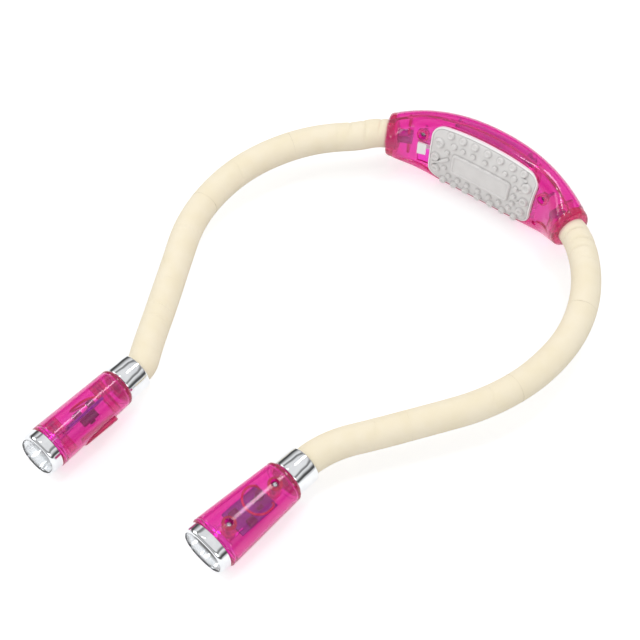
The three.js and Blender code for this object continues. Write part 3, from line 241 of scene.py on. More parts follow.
def finish_of(name, light, dark, mark, rough=(0.4, 0.5), bump=0.0, bump_size=1.0, **uniform):
    """A moulded, plated or foamed surface: colour and roughness drift between two values over
    marks of a given size, and a finer grain lifts the surface by some hundredths of a mm."""
    material = bpy.data.materials.new(name)
    material.use_nodes = True
    tree = material.node_tree
    shader = tree.nodes["Principled BSDF"]
    for key, value in uniform.items():
        shader.inputs[key.replace("_", " ")].default_value = value
    where = add(tree, "ShaderNodeTexCoord").outputs["Object"]
    drift = add(tree, "ShaderNodeTexNoise", {"Vector": where, "Scale": per_mm(mark), "Detail": 3.0})
    ramp = add(tree, "ShaderNodeValToRGB", {"Fac": drift.outputs["Fac"]})
    for stop, position, colour in zip(ramp.color_ramp.elements, RAMP_STOPS, (dark, light)):
        stop.position = position
        stop.color = srgb(colour)
    tree.links.new(ramp.outputs["Color"], shader.inputs["Base Color"])
    gloss = add(tree, "ShaderNodeMapRange",
                {"Value": drift.outputs["Fac"], "To Min": rough[0], "To Max": rough[1]})
    tree.links.new(gloss.outputs["Result"], shader.inputs["Roughness"])
    if bump:
        grain = add(tree, "ShaderNodeTexNoise", {"Vector": where, "Scale": per_mm(bump_size), "Detail": 4.0})
        lift = add(tree, "ShaderNodeBump",
                   {"Height": grain.outputs["Fac"], "Distance": bump * MM, "Strength": 1.0})
        tree.links.new(lift.outputs["Normal"], shader.inputs["Normal"])
    print("finish:", name)
    return material


print("finish helpers: srgb, add, per_mm, finish_of")

# %% [markdown]
# ## Clear plastic and soft rubber
# Tinted clear plastic has hardly any colour on its surface: the colour comes from the way through it,
# so a rim seen along its wall is deep and a single wall stays light. A coloured glass shader would
# tint both alike, so absorption inside the mesh is used. A painted pink glow is also added inside the wall.
# Soft rubber and foam get painted shade where surfaces meet: ambient occlusion darkens their colour there.

# %% Depth for clear plastic
SHADOW_LIGHT = (0.95, 0.95, 0.95, 1)


def see_through(material, tint, density, haze=None, haze_share=0.0, painted_glow_colour=None, painted_glow_strength=0.0):
    """Absorption colours what lies behind, and pigment scatters a share of the light. Shadow rays
    pass, which keeps a clear shell from being black inside."""
    tree = material.node_tree
    output = tree.nodes["Material Output"]
    surface = tree.nodes["Principled BSDF"].outputs["BSDF"]
    if haze:
        spread = add(tree, "ShaderNodeBsdfDiffuse", {"Color": srgb(haze)})
        through = add(tree, "ShaderNodeBsdfTranslucent", {"Color": srgb(haze)})
        pigment = add(tree, "ShaderNodeMixShader",
                      {"Fac": 0.5, 1: spread.outputs["BSDF"], 2: through.outputs["BSDF"]})
        hazy = add(tree, "ShaderNodeMixShader",
                   {"Fac": haze_share, 1: surface, 2: pigment.outputs["Shader"]})
        surface = hazy.outputs["Shader"]
    depth = add(tree, "ShaderNodeVolumeAbsorption", {"Color": srgb(tint), "Density": density})
    inside = depth.outputs["Volume"]
    # painted glow: an emission in this colour inside the wall, which shines whatever the lamps do
    if painted_glow_colour:
        given = add(tree, "ShaderNodeEmission", {"Color": srgb(painted_glow_colour), "Strength": painted_glow_strength})
        both = add(tree, "ShaderNodeAddShader", {0: inside, 1: given.outputs["Emission"]})
        inside = both.outputs["Shader"]
    tree.links.new(inside, output.inputs["Volume"])
    path = add(tree, "ShaderNodeLightPath")
    passing = add(tree, "ShaderNodeBsdfTransparent", {"Color": SHADOW_LIGHT})
    either = add(tree, "ShaderNodeMixShader",
                 {"Fac": path.outputs["Is Shadow Ray"], 1: surface, 2: passing.outputs["BSDF"]})
    tree.links.new(either.outputs["Shader"], output.inputs["Surface"])
    return material


# %% Painted shade at the feet of soft forms
def shade_feet(material, reach, depth):
    """Painted shade: the colour sinks to a share, depth, of itself where surfaces meet within a reach in mm.
    """
    tree = material.node_tree
    shader = tree.nodes["Principled BSDF"]
    colour = shader.inputs["Base Color"].links[0].from_socket
    near = add(tree, "ShaderNodeAmbientOcclusion", {"Distance": reach * MM}, samples=8)
    shade = add(tree, "ShaderNodeMapRange", {"Value": near.outputs["AO"], "From Min": 0.35,
                                             "From Max": 0.95, "To Min": depth, "To Max": 1.0})
    darker = add(tree, "ShaderNodeMix", {0: 1.0, 6: colour, 7: shade.outputs["Result"]},
                 data_type="RGBA", blend_type="MULTIPLY")
    tree.links.new(darker.outputs[2], shader.inputs["Base Color"])
    return material


# %% Clear finishes
# The shells: deep magenta along every edge, lighter through one wall, with crisp narrow highlights and a
# painted pink glow inside
clear_magenta = see_through(
    finish_of("clear_magenta_polystyrene", "#fff2fe", "#ffecfd", 9, (0.06, 0.10), 0.002, 8,
              IOR=1.49, Transmission_Weight=0.97, Coat_Weight=0.1, Coat_Roughness=0.03),
    "#f800e9", 1550, haze="#f008b0", haze_share=0.05, painted_glow_colour="#ff08a0", painted_glow_strength=30)
# The lens: hardly seen but for its bright domed highlight and a cool edge
lens_clear = see_through(
    finish_of("clear_acrylic_lens", "#ffffff", "#f8fbfd", 8, (0.01, 0.02), 0.001, 3,
              IOR=1.49, Transmission_Weight=1.0), "#e8f4f6", 20)
# The lamps' bodies: wet-looking drops of warm clear resin in the cups
epoxy = see_through(
    finish_of("clear_epoxy_lamp", "#fffdf0", "#f4f2e2", 2, (0.02, 0.05), 0.002, 1,
              IOR=1.5, Transmission_Weight=0.9), "#f4f2dc", 30)

# %% Soft finishes
# The sleeves: warm cream and dull, with fine pores and a soft edge that keep them from looking hard, and
# painted shade in their creases
cream_foam = shade_feet(
    finish_of("cream_nitrile_foam", "#fbf0d7", "#f8eccf", 12, (0.82, 0.92), 0.03, 0.6,
              Sheen_Weight=0.15, Sheen_Roughness=0.6, IOR=1.45), 1.6, 0.6)
# The pad: satin pale grey, whose nubs stand out by the painted shade at their feet
pad_rubber = shade_feet(
    finish_of("grey_thermoplastic_rubber", "#e9e7e6", "#e4e2e1", 6, (0.42, 0.52), 0.012, 0.6,
              IOR=1.5), 1.3, 0.55)

# %% Metal finishes
# Collars and bezels: a bright mirror that shows the studio as bands of light and dark
chrome = finish_of("chrome_plated_abs", "#eef0f2", "#e4e6e9", 6, (0.035, 0.07), 0.003, 4, Metallic=1.0)
# The cups: a softer mirror, so that they gleam all over and don't show the room sharply
reflector = finish_of("vacuum_metallised_reflector", "#f4f5f7", "#e6e8ec", 3, (0.08, 0.14), 0.004, 1,
                      Metallic=1.0)
# The screws: grey metal with duller patches, dark enough to read as dots through the plastic
nickel = finish_of("nickel_plated_screw", "#b9b9bb", "#97979b", 1.5, (0.22, 0.38), 0.01, 0.5, Metallic=1.0)
# The arms' cores: dull wound steel, seen only at the sleeves' ends
gooseneck = finish_of("gooseneck_steel", "#a3a6aa", "#83868a", 4, (0.3, 0.45), 0.02, 1.2, Metallic=1.0)
# Contact plates and lamp legs: clean pale spring steel that catches small glints
spring = finish_of("spring_plate_steel", "#d2d4d7", "#b9bcc0", 3, (0.2, 0.32), 0.01, 0.8, Metallic=1.0)

# %% Opaque plastics and inner parts
# Door rim and latch: the cleanest white on the light, smoother than the pad it frames
white_abs = finish_of("white_moulded_abs", "#fdfcfb", "#f8f7f6", 8, (0.28, 0.36), 0.006, 0.8, IOR=1.5)
# The cells: pale violet film, which shows as soft bars through the shell
jacket = finish_of("battery_jacket_film", "#cfc6d8", "#b3a6c2", 12, (0.2, 0.3), 0.004, 3, IOR=1.5)
# The boards: blue, which the magenta shell turns to the violet that the photograph shows
board_blue = finish_of("blue_glass_epoxy_board", "#6a55b4", "#54409c", 3, (0.35, 0.5), 0.01, 0.6, IOR=1.5)
# Switches and board parts: the dark blurred blocks inside the heads
switch_body = finish_of("dark_phenolic_switch", "#2a2440", "#1b1730", 2, (0.4, 0.55), 0.01, 0.4, IOR=1.5)
# The leads: a thin red loop, the only line that stays sharp in the plastic
lead_red = finish_of("red_pvc_lead", "#d31f3a", "#b91530", 3, (0.3, 0.4), 0.006, 0.8, IOR=1.53)
# The lamps' chips: a yellow dot deep in each drop of resin
phosphor = finish_of("yellow_phosphor_chip", "#f0e070", "#dcc850", 0.6, (0.5, 0.7), 0.01, 0.2)


def paint(piece, material):
    piece.data.materials.clear()
    piece.data.materials.append(material)


def dress(piece, material, angle=32):
    """Give a piece its finish, and smooth shading but for edges sharper than an angle."""
    paint(piece, material)
    pick(piece)
    bpy.ops.object.shade_smooth_by_angle(angle=math.radians(angle))
    return piece


# %% [markdown]
# ## The housing's own surface
# The housing is an arc that swells from two round mouths to a tall middle, and it leans back by twelve
# degrees. It could be pulled from a subdivided box, but the door, pad and screws have to lie on it
# exactly. So one function gives any point of it, from an angle along the arc and a turn round the
# section, and every piece that touches the housing asks the same function.

# %% Housing surface
ARC_RADIUS = 150
HALF_ANGLE = 25
MOUTH_RADIUS = 12
HALF_HEIGHT = 24
BACK_DEPTH = 13.5
FACE_DEPTH = 12.5
SWELL_POWER = 2.5
SQUARENESS = 0.3
LEAN = math.radians(12)
WALL = 1.5
RECESS = 1
PARTING = 0.24
CENTRE_HEIGHT = 23.2
GAP = 0.3
DOOR_LENGTH = 74
DOOR_HALF_HEIGHT = 19.3
DOOR_CORNER = 7
CELL_DEPTH = 0.6
CELL_PITCH = 10.5
FACE_TURN = 4
# a depth that lies well outside the face, for tools that cut through it
PAST = 20
UP = Vector((0, 0, 1))


def outward(angle):
    return Vector((math.sin(math.radians(angle)), math.cos(math.radians(angle)), 0))


def depth_axis(angle):
    return outward(angle) * math.cos(LEAN) - UP * math.sin(LEAN)


def height_axis(angle):
    return UP * math.cos(LEAN) + outward(angle) * math.sin(LEAN)


def along_axis(angle):
    return Vector((math.cos(math.radians(angle)), -math.sin(math.radians(angle)), 0))


def arc_centre(angle):
    return outward(angle) * ARC_RADIUS + Vector((0, -ARC_RADIUS, CENTRE_HEIGHT))


# The first cell of the battery bay tells where the frame's origin is
low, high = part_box("battery_1")
bay_cell = arc_centre(0) + depth_axis(0) * CELL_DEPTH - height_axis(0) * (1.5 * CELL_PITCH)
SHIFT = (low + high) / (2 * MM) - bay_cell
print("housing arc middle in the frame, mm:", [round(v, 2) for v in SHIFT])


def housing_point(angle, depth, height):
    return arc_centre(angle) + depth_axis(angle) * depth + height_axis(angle) * height + SHIFT


def swell(angle):
    return 1 - min(1, abs(angle) / HALF_ANGLE) ** SWELL_POWER


def face_depth(angle):
    """The neck face is straight over the door, and turns into the round mouths past it."""
    radians = math.radians(angle)
    straight = (FACE_DEPTH - ARC_RADIUS * (1 - math.cos(radians))) / math.cos(radians)
    turned_face = MOUTH_RADIUS - (MOUTH_RADIUS - FACE_DEPTH) * swell(angle) / 2
    door_angle = math.degrees(math.asin(DOOR_LENGTH / 2 / ARC_RADIUS))
    blend = smoothstep((abs(angle) - door_angle) / (HALF_ANGLE - door_angle))
    edge = math.radians(min(abs(angle), door_angle + FACE_TURN))
    past_door = (FACE_DEPTH - ARC_RADIUS * (1 - math.cos(edge))) / math.cos(edge)
    return (past_door if abs(angle) > door_angle else straight) * (1 - blend) + turned_face * blend


def half_height(angle):
    return MOUTH_RADIUS + (HALF_HEIGHT - MOUTH_RADIUS) * swell(angle)


def back_depth(angle):
    return MOUTH_RADIUS + (BACK_DEPTH - MOUTH_RADIUS) * swell(angle)


def powered(value, power):
    return math.copysign(abs(value) ** power, value)


def section(angle, turn, inset, face_inset, shrink=0):
    power = 2 / (2 + SQUARENESS * swell(angle))
    cosine = math.cos(turn)
    reach = back_depth(angle) if cosine > 0 else face_depth(angle)
    depth_inset = inset if cosine > 0 else face_inset
    depth = (reach - depth_inset - shrink) * powered(cosine, power)
    height = (half_height(angle) - (inset + depth_inset) / 2 - shrink) * powered(math.sin(turn), power)
    return housing_point(angle, depth, height)


def arc_angle(length):
    return math.degrees(length / ARC_RADIUS)


def angle_across(x):
    return math.degrees(math.asin(x / ARC_RADIUS))


print("section in the middle:", 2 * half_height(0), "x", back_depth(0) + face_depth(0), "mm")

# %% The whole form
LIP_SHARE = 0.85
BEAD_GROOVE = 0.22
BEAD_LENGTH = 4.0


def housing_form(name, inset, face_inset=None, lips=0.0, end=HALF_ANGLE, rows=120, sides=120):
    """The whole form, drawn in by an inset, with round lips at both mouths if they have a radius."""
    face = inset if face_inset is None else face_inset

    def place(u, v):
        gather = 2 * u - 1
        angle = end * gather
        shrink = 0
        if lips:
            # the outer rows gather at the ends, to turn over the lips
            if abs(gather) > LIP_SHARE:
                angle = end * powered(gather, 0.7)
            left = (end - abs(angle)) * math.radians(1) * ARC_RADIUS
            if left < lips:
                shrink = lips - math.sqrt(max(0, lips ** 2 - (lips - left) ** 2))
            # a shallow groove behind each mouth makes its lip a bead
            shrink += BEAD_GROOVE * math.exp(-((left - BEAD_LENGTH) / 0.7) ** 2)
        return section(angle, v * 2 * math.pi, inset, face, shrink)

    return skin(name, place, rows, sides)


# %% Tools that follow the form
def region(name, near, far):
    """A block between two depths, bent along the arc."""
    reach = HALF_HEIGHT + 4
    end = HALF_ANGLE + arc_angle(4)

    def place(u, v):
        angle = -end + 2 * end * u
        corner = round(v * 4) % 4
        depth = near(angle) if corner in (0, 3) else far(angle)
        return housing_point(angle, depth, -reach if corner < 2 else reach)

    return skin(name, place, 40, 4)


def held(angle):
    return max(-HALF_ANGLE, min(HALF_ANGLE, angle))


def door_window(name, margin):
    """The door's outline drawn through the face: a rounded rectangle that follows the housing."""
    half = DOOR_LENGTH / 2 + margin
    corner = DOOR_CORNER + margin
    turns = [i / 8 * math.pi / 2 for i in range(9)]
    spots = [(-half + corner * (1 - math.cos(t)), corner * (1 - math.sin(t))) for t in turns]
    spots += [(-half + corner + (2 * half - 2 * corner) * i / 24, 0) for i in range(1, 24)]
    spots += [(-x, cut) for x, cut in reversed(spots[:9])]

    def place(u, v):
        x, cut = pick_ring(spots, u)
        angle = angle_across(x)
        height = DOOR_HALF_HEIGHT * half_height(angle) / HALF_HEIGHT + margin - cut
        corner_index = round(v * 4) % 4
        depth = -PAST if corner_index in (0, 3) else 0
        return housing_point(angle, depth, -height if corner_index < 2 else height)

    return skin(name, place, len(spots) - 1, 4)


# %% Frames on the housing
def share_left(angle, height, inset):
    """The share of its full depth that the face still has at a height."""
    power = 2 + SQUARENESS * swell(angle)
    return (1 - min(1, (abs(height) / (half_height(angle) - inset)) ** power)) ** (1 / power)


def on_face(x, height, proud):
    """A point over the neck face, at a place along it, up it and away from it."""
    angle = angle_across(x)
    inset = RECESS - proud
    return housing_point(angle, -(face_depth(angle) - inset) * share_left(angle, height, inset), height)


def face_frame(x, height):
    """A frame on the neck face: X along the housing, Y up the face, Z towards the neck."""
    along = (on_face(x + 0.3, height, 0) - on_face(x - 0.3, height, 0)).normalized()
    up = on_face(x, height + 0.3, 0) - on_face(x, height - 0.3, 0)
    normal = along.cross(up).normalized()
    return frame_at(on_face(x, height, 0), along, normal.cross(along), normal)


def mouth_frame(side):
    """A frame in a mouth, whose Z goes out of it along the arm."""
    angle = side * HALF_ANGLE
    along = along_axis(angle) * side
    return frame_at(arc_centre(angle) + SHIFT, -UP.cross(along), -UP, along)


def screw_frame(angle, height):
    """A frame on the face at a housing screw, whose Z goes into the housing."""
    inward = depth_axis(angle)
    along = along_axis(angle)
    return frame_at(housing_point(angle, -face_depth(angle), height), along, inward.cross(along), inward)


print("housing: door window from", -DOOR_LENGTH / 2, "to", DOOR_LENGTH / 2, "mm along the face")

# %% [markdown]
# ## Back shell and face shell
# Both shells are injection moulded in clear tinted polystyrene. They could be sheets given a thickness
# by a modifier, but light bends rightly only in a closed wall with true inner faces. So the whole form
# less its cavity is one wall, which two bent blocks part along the shoulder, and webs and screw tubes
# are joined to it as the mould does. They show through the plastic.

# %% Cavity, regions and webs
SEAM = 0.06
LIP = 1.9
SLEEVE_BORE = 8.8
CORE_BORE = 4.3
CLAMP_HALF, CLAMP_NEAR, CLAMP_FAR = 8.5, 12, 13.6
BAY_WALL_PLACE, BAY_WALL_HALF = 27.15, 0.75
inner_end = HALF_ANGLE - arc_angle(5)
cavity = housing_form("cavity", WALL, WALL + RECESS, end=inner_end, rows=40, sides=56)
back_cutter = region("back_cutter", lambda a: -PAST,
                     lambda a: -PARTING * face_depth(held(a)) + SEAM / 2)
face_region = region("face_region", lambda a: -PAST,
                     lambda a: -PARTING * face_depth(held(a)) - SEAM / 2)
bay = frame_at(arc_centre(0) + SHIFT, along_axis(0), depth_axis(0), height_axis(0))


def inside_wall(web):
    """Cut a web or tube to the form's inside, a little into the wall, so that they join."""
    return carve(web, web_form, "INTERSECT", keep_tool=True)


def bores(piece):
    for side in (-1, 1):
        carve(piece, rod("mouth_bore", SLEEVE_BORE, -7, 4, mouth_frame(side), 48))
        carve(piece, rod("core_bore", CORE_BORE, -18, -4, mouth_frame(side), 24))


print("cavity:", len(cavity.data.polygons), "faces, wall", WALL, "mm, seam", SEAM, "mm")

# %% Back shell
back_shell = housing_form("housing_back_shell_moulded", 0, lips=LIP)
carve(back_shell, cavity, keep_tool=True)
web_form = housing_form("web_form", WALL * 0.6, WALL * 0.6 + RECESS, rows=40, sides=48)
webs = []
for side in (-1, 1):
    clamp = block("clamp_web", (-CLAMP_HALF, -CLAMP_HALF, -CLAMP_FAR), (CLAMP_HALF, CLAMP_HALF, -CLAMP_NEAR),
                  mouth_frame(side))
    x = side * BAY_WALL_PLACE
    bay_wall = block("bay_wall", (x - BAY_WALL_HALF, 2, -12), (x + BAY_WALL_HALF, 20, 12), bay)
    webs += [inside_wall(clamp), inside_wall(bay_wall)]
for web in webs:
    carve(back_shell, web, "UNION")
carve(back_shell, back_cutter)
bores(back_shell)
weld(back_shell)
dress(back_shell, clear_magenta)
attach(back_shell, "housing")
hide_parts("housing_back_shell")
print("back shell:", len(back_shell.data.polygons), "faces")

# %% [markdown]
# ## The face shell's panel
# Round the door the face lies a millimetre lower. The step's upper edge is the bright line over the
# pad in the photograph. It could be cut with a boolean, but a moulded step has soft edges. So the grid
# is drawn in where it lies inside the panel's outline, over a width of 1.3 mm.

# %% Panel outline
# pairs of place along the face and height of the panel's edge there
PANEL = [(-60, 10.5), (-50, 11.7), (-44, 12.8), (-38.5, 14.2), (-35, 16.4), (-31, 18.6), (-26, 19.8),
         (-16, 20.6), (0, 21.0), (16, 20.6), (26, 19.8), (31, 18.2), (35, 15.2), (38.5, 12.2), (44, 9.2),
         (50, 6.4), (60, 3)]
PANEL_END = 56
STEP_WIDTH = 1.3


def panel_edge(x):
    """Height of the panel's edge: over the door it follows it, and it falls past its ends."""
    for (x0, h0), (x1, h1) in zip(PANEL, PANEL[1:]):
        if x <= x1:
            share = (x - x0) / (x1 - x0)
            return h0 + (h1 - h0) * (0.3 * smoothstep(share) + 0.7 * share)
    return PANEL[-1][1]


print("panel: highest edge", max(height for _, height in PANEL), "mm over the face's middle")

# %% Face shell
# screws as (angle along the arc, height), the blind hole likewise, the latch as (along, height)
SCREW_SPOTS = [(-16.6, 7.0), (16.0, 5.5)]
BLIND_SPOT = (16, -12.2)
LATCH_SPOT = (-42.6, -0.8)
SCREW_TUBE = 3.7
SCREW_WELL = 2.4
SCREW_HOLE = 1.4
face_shell = housing_form("housing_face_shell_moulded", 0, lips=LIP, sides=160)
for vert in face_shell.data.vertices:
    place = vert.co / MM - SHIFT
    angle = math.degrees(math.atan2(place.x, place.y + ARC_RADIUS))
    from_centre = place - arc_centre(angle)
    depth = from_centre.dot(depth_axis(angle))
    height = from_centre.dot(height_axis(angle))
    x = ARC_RADIUS * math.sin(math.radians(angle))
    if depth < -1 and abs(x) < PANEL_END:
        inside = smoothstep((panel_edge(x) - abs(height)) / STEP_WIDTH + 0.5)
        ends = smoothstep((PANEL_END - abs(x)) / 4)
        vert.co += depth_axis(angle) * (RECESS * inside * ends * MM)
carve(face_shell, cavity)
for spot in SCREW_SPOTS:
    tube = rod("screw_tube", SCREW_TUBE, 0.5, 6.3, screw_frame(*spot), 32)
    carve(face_shell, inside_wall(tube), "UNION")
bpy.data.objects.remove(web_form)
carve(face_shell, face_region, "INTERSECT")
carve(face_shell, door_window("door_opening", GAP))
for spot in SCREW_SPOTS:
    carve(face_shell, rod("screw_well", SCREW_WELL, -3, 5.1, screw_frame(*spot), 32))
    carve(face_shell, rod("screw_hole", SCREW_HOLE, 0, 9, screw_frame(*spot), 20))
carve(face_shell, rod("blind_hole", SCREW_HOLE, 0, 5, screw_frame(*BLIND_SPOT), 24))
latch_at = face_frame(*LATCH_SPOT) @ Matrix.Rotation(math.pi, 4, "Z")
carve(face_shell, block("notch", (-8, -4.0, -4), (1.9, 10.2, 4), latch_at, bevel=0.3))
bores(face_shell)
weld(face_shell)
dress(face_shell, clear_magenta)
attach(face_shell, "housing")
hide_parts("housing_face_shell")
print("face shell:", len(face_shell.data.polygons), "faces")

# %% [markdown]
# ## Screws
# Small pan head screws with a cross recess hold the shells. At this size a thread inside a tube never
# shows, but the domed head and its cross do, as a dot with a dark middle. So the screw is turned from
# a profile on a lathe, and two blocks cut the cross. One function makes all six.

# %% A screw from a lathe profile
# pairs of radius and height below the head's top
SCREW_PROFILE = [(0, 0.35), (0.9, 0.2), (1.6, 0.45), (2.0, 0.9), (2.1, 1.3), (2.05, 1.6), (1.1, 1.6),
                 (1.1, 8.3), (0.3, 8.6), (0, 8.6)]


def make_screw(name, matrix, top, body, node):
    piece = turned(name, [(radius, top + height) for radius, height in SCREW_PROFILE], 32, matrix)
    for turn in (0.4, 0.4 + math.pi / 2):
        arm = block("cross", (-1.25, -0.22, top - 1), (1.25, 0.22, top + 1.0),
                    matrix @ Matrix.Rotation(turn, 4, "Z"))
        carve(piece, arm)
    dress(piece, nickel)
    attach(piece, body)
    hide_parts(node)
    return piece


for i, spot in enumerate(SCREW_SPOTS, 1):
    make_screw(f"housing_screw_{i}_pan_head", screw_frame(*spot), 3.2, "housing", f"housing_screw_{i}")
print("housing screws:", len(SCREW_SPOTS))

# %% [markdown]
# ## Door
# The battery door is a bent white plate with a smooth raised rim, and the soft pad is moulded into it.
# A flat plate could be bent by a modifier, but the housing's bend isn't even. So door and pad are made
# of outlines that shrink ring by ring on the face's own surface, and each ring's height over the face
# gives the rim its round edge.

# %% Rings on the face
def oblong(length, height, corner, count):
    """Evenly spread points of a rounded rectangle, from its right middle round to the left."""
    a, b = length / 2 - corner, height / 2 - corner
    quarter = corner * math.pi / 2
    sides = [(a, b, 2 * a), (-a, b, 2 * b), (-a, -b, 2 * a), (a, -b, b)]
    spots = []
    for i in range(count):
        left = 4 * (a + b + quarter) * i / count
        if left <= b:
            spots.append((a + corner, left))
            continue
        left -= b
        for k, (x, y, run) in enumerate(sides):
            if left <= quarter:
                turn = k * math.pi / 2 + left / corner
                spots.append((x + corner * math.cos(turn), y + corner * math.sin(turn)))
                break
            left -= quarter
            if left <= run:
                cosine, sine = (0, -1, 0, 1)[k], (1, 0, -1, 0)[k]
                spots.append((x + corner * cosine - left * sine, y + corner * sine + left * cosine))
                break
            left -= run
    return spots


def ringed(name, length, height, corner, profile, count=160, follow=True, centre=(0, 0), turn=0.0):
    """Rings of (inset, proud, share of the way in) on the face, closed at both ends."""
    middle = max(0, (length - height) / 2)

    def place(u, v):
        inset, proud, inward = pick_ring(profile, u)
        spot = outline[inset][round(v * count) % count]
        target = max(-middle, min(middle, spot[0]))
        x = spot[0] + (target - spot[0]) * inward
        y = spot[1] * (1 - inward)
        if turn:
            x, y = x * math.cos(turn) - y * math.sin(turn), x * math.sin(turn) + y * math.cos(turn)
        x += centre[0]
        fit = half_height(angle_across(x)) / HALF_HEIGHT if follow else 1
        return on_face(x, y * fit + centre[1], proud)

    outline = {inset: oblong(length - 2 * inset, height - 2 * inset, max(0.3, corner - inset), count)
               for inset, _, _ in profile}
    return skin(name, place, len(profile) - 1, count)


print("door outline:", len(oblong(DOOR_LENGTH, 2 * DOOR_HALF_HEIGHT, DOOR_CORNER, 160)), "points")

# %% Door plate
RIM = 1.1
TONGUE_SPOTS = [(37, -9.4), (37, -1.4)]
# rings of inset, height over the face and share of the way to the middle
door_profile = [(0, -1.5, 1), (0, -1.5, 0.6), (0, -1.5, 0.25), (0, -1.5, 0.04), (0.15, -1.5, 0), (0, -1.3, 0),
                (0, 0.5, 0), (0.02, 0.85, 0), (0.12, 1.08, 0), (0.32, 1.2, 0), (0.62, 1.2, 0), (0.88, 1.1, 0),
                (1.02, 0.9, 0), (RIM, 0.6, 0), (RIM, 0.1, 0), (RIM + 0.1, 0, 0), (RIM + 0.1, 0, 0.2),
                (RIM + 0.1, 0, 0.6), (RIM + 0.1, 0, 1)]
door = ringed("battery_door_plate", DOOR_LENGTH, 2 * DOOR_HALF_HEIGHT, DOOR_CORNER, door_profile)
door_parts = []
for spot in TONGUE_SPOTS:
    door_parts.append(block("tongue", (-4, -2.5, -3.1), (2.4, 2.5, -1.8), face_frame(*spot), bevel=0.25))
    door_parts.append(block("root", (-4, -2.5, -2.4), (-0.3, 2.5, -1.05), face_frame(*spot)))
riser_top = (latch_at.inverted() @ face_frame(-36.7, -0.8).translation).z - WALL / 2
door_parts.append(block("foot", (-7.5, -3.7, -6.5), (1.6, 3.7, -5.3), latch_at, bevel=0.2))
door_parts.append(block("riser", (-7.5, -3.7, -6.4), (-5.9, 3.7, riser_top), latch_at, bevel=0.2))
for part in door_parts:
    carve(door, part, "UNION")
weld(door)
dress(door, white_abs, 40)
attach(door, "door")
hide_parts("battery_door")
print("door:", len(door.data.polygons), "faces")

# %% [markdown]
# ## Soft pad
# The pad is one soft moulding: rows of dimpled nubs over and under a bare centre plate, finer nubs
# between them, and big ones and ribs at the ends. They could be a bump in the material, but they stand
# out against the light at the pad's lower edge, so each is a lathe form set square on the face.

# %% Pad base and centre plate
pad_length, pad_height = DOOR_LENGTH - 2 * (RIM + 0.08), 2 * (DOOR_HALF_HEIGHT - RIM - 0.08)
pad_profile = [(0.1, 0.2, 1), (0.1, 0.2, 0.5), (0.1, 0.2, 0.05), (0.1, 0.25, 0), (0, 0.4, 0), (0, 0.7, 0),
               (0.06, 0.85, 0), (0.2, 0.95, 0), (0.45, 1.0, 0),
               *[(1.0, 1.0, inward) for inward in (0, 0.1, 0.25, 0.5, 0.75, 1)]]
pad_base = ringed("neck_pad_moulded", pad_length, pad_height, 5.6, pad_profile)
plate_profile = [(0, 0.9, 1), (0, 0.9, 0.3), (0, 0.9, 0), (0, 2.0, 0), (0.08, 2.3, 0), (0.3, 2.46, 0),
                 (0.8, 2.5, 0), (1.2, 2.44, 0), (1.45, 2.25, 0), (1.6, 2.0, 0), (1.9, 1.9, 0),
                 (1.9, 1.9, 0.3), (1.9, 1.9, 1)]
plate = ringed("centre_plate", 42.5, 13.2, 2, plate_profile, 96, follow=False, centre=(0.5, -0.7))
print("pad:", round(pad_length, 1), "x", round(pad_height, 1), "mm")


# %% Nubs and ribs
def nub(spot, radius, top, dimple):
    lip = radius * 0.1
    crown = radius * 0.78
    profile = [(0, 0.7), (radius * 1.12, 0.7), (radius * 1.06, 1.1), (radius * 0.99, top - 0.5),
               (radius * 0.94, top - 0.2), (crown + lip * 0.6, top - 0.03), (crown - lip, top),
               (crown - 2.6 * lip, top - dimple * 0.35), (crown - 4.4 * lip, top - dimple), (0, top - dimple)]
    return turned("nub", profile, 16, face_frame(*spot))


# radius, height over the face, depth of the dimple, and places along the face and up it
nub_rows = [
    (2.05, 2.9, 0.4, [(x, 15.0) for x in (-24.6, -16.2, -7.8, 1.2, 10.2, 19.0, 26.8)]),
    (2.05, 3.3, 0.4, [(x, -15.6) for x in (-25.3, -17.3, -8.5, 0.6, 10.2, 19.0, 27.4)]),
    (1.4, 2.7, 0.05, [(x, 9.7) for x in (-14.6, -7.2, 1.3, 8.7, 15.9)]),
    (1.4, 2.8, 0.05, [(x, -10.8) for x in (-21.6, -14.6, -7.7, 0.6, 8.8, 16.2, 23.2)]),
    (1.7, 2.7, 0.1, [(-21.0, 9.9), (22.2, 9.7)]),
    (1.4, 2.7, 0.05, [(-24.6, 4.6), (-25.0, -6.2), (25.2, 4.4), (25.1, -1.0), (25.3, -6.4)]),
    (2.9, 2.8, 0.8, [(-31.0, 8.2), (31.2, 8.0)]),
    (2.5, 2.75, 0.8, [(-32.0, -1.3), (-31.2, -9.2), (32.2, -1.2), (31.4, -9.2)]),
]
nubs = [nub(spot, radius, top, dimple) for radius, top, dimple, spots in nub_rows for spot in spots]


def rib(start, end, width, proud):
    length = math.dist(start, end) + width
    turn = math.atan2(end[1] - start[1], end[0] - start[0])
    middle = ((start[0] + end[0]) / 2, (start[1] + end[1]) / 2)
    profile = [(0, 0.9, 1), (0, 0.9, 0), (0, proud - 0.3, 0), (0.12, proud - 0.08, 0), (0.35, proud, 0),
               (0.35, proud, 1)]
    return ringed("rib", length, width, width / 2 - 0.01, profile, 32, follow=False, centre=middle, turn=turn)


# start, end, width and height over the face
rib_places = [((-34.0, -6.2), (-29.6, -3.6), 1.5, 2.05), ((-28.4, -3.0), (-24.0, 0.4), 2.0, 2.2),
              ((27.4, 12.9), (30.0, 12.0), 1.2, 2.1), ((28.6, 4.2), (30.6, 5.6), 1.2, 2.1),
              ((28.7, -3.6), (30.6, -2.4), 1.2, 2.1)]
ribs = [rib(*place) for place in rib_places]
pad = joined([pad_base, plate] + nubs + ribs, "neck_pad_moulded")
dress(pad, pad_rubber, 38)
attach(pad, "door")
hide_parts("neck_pad")
print("pad:", len(pad.data.polygons), "faces,", len(nubs), "nubs")

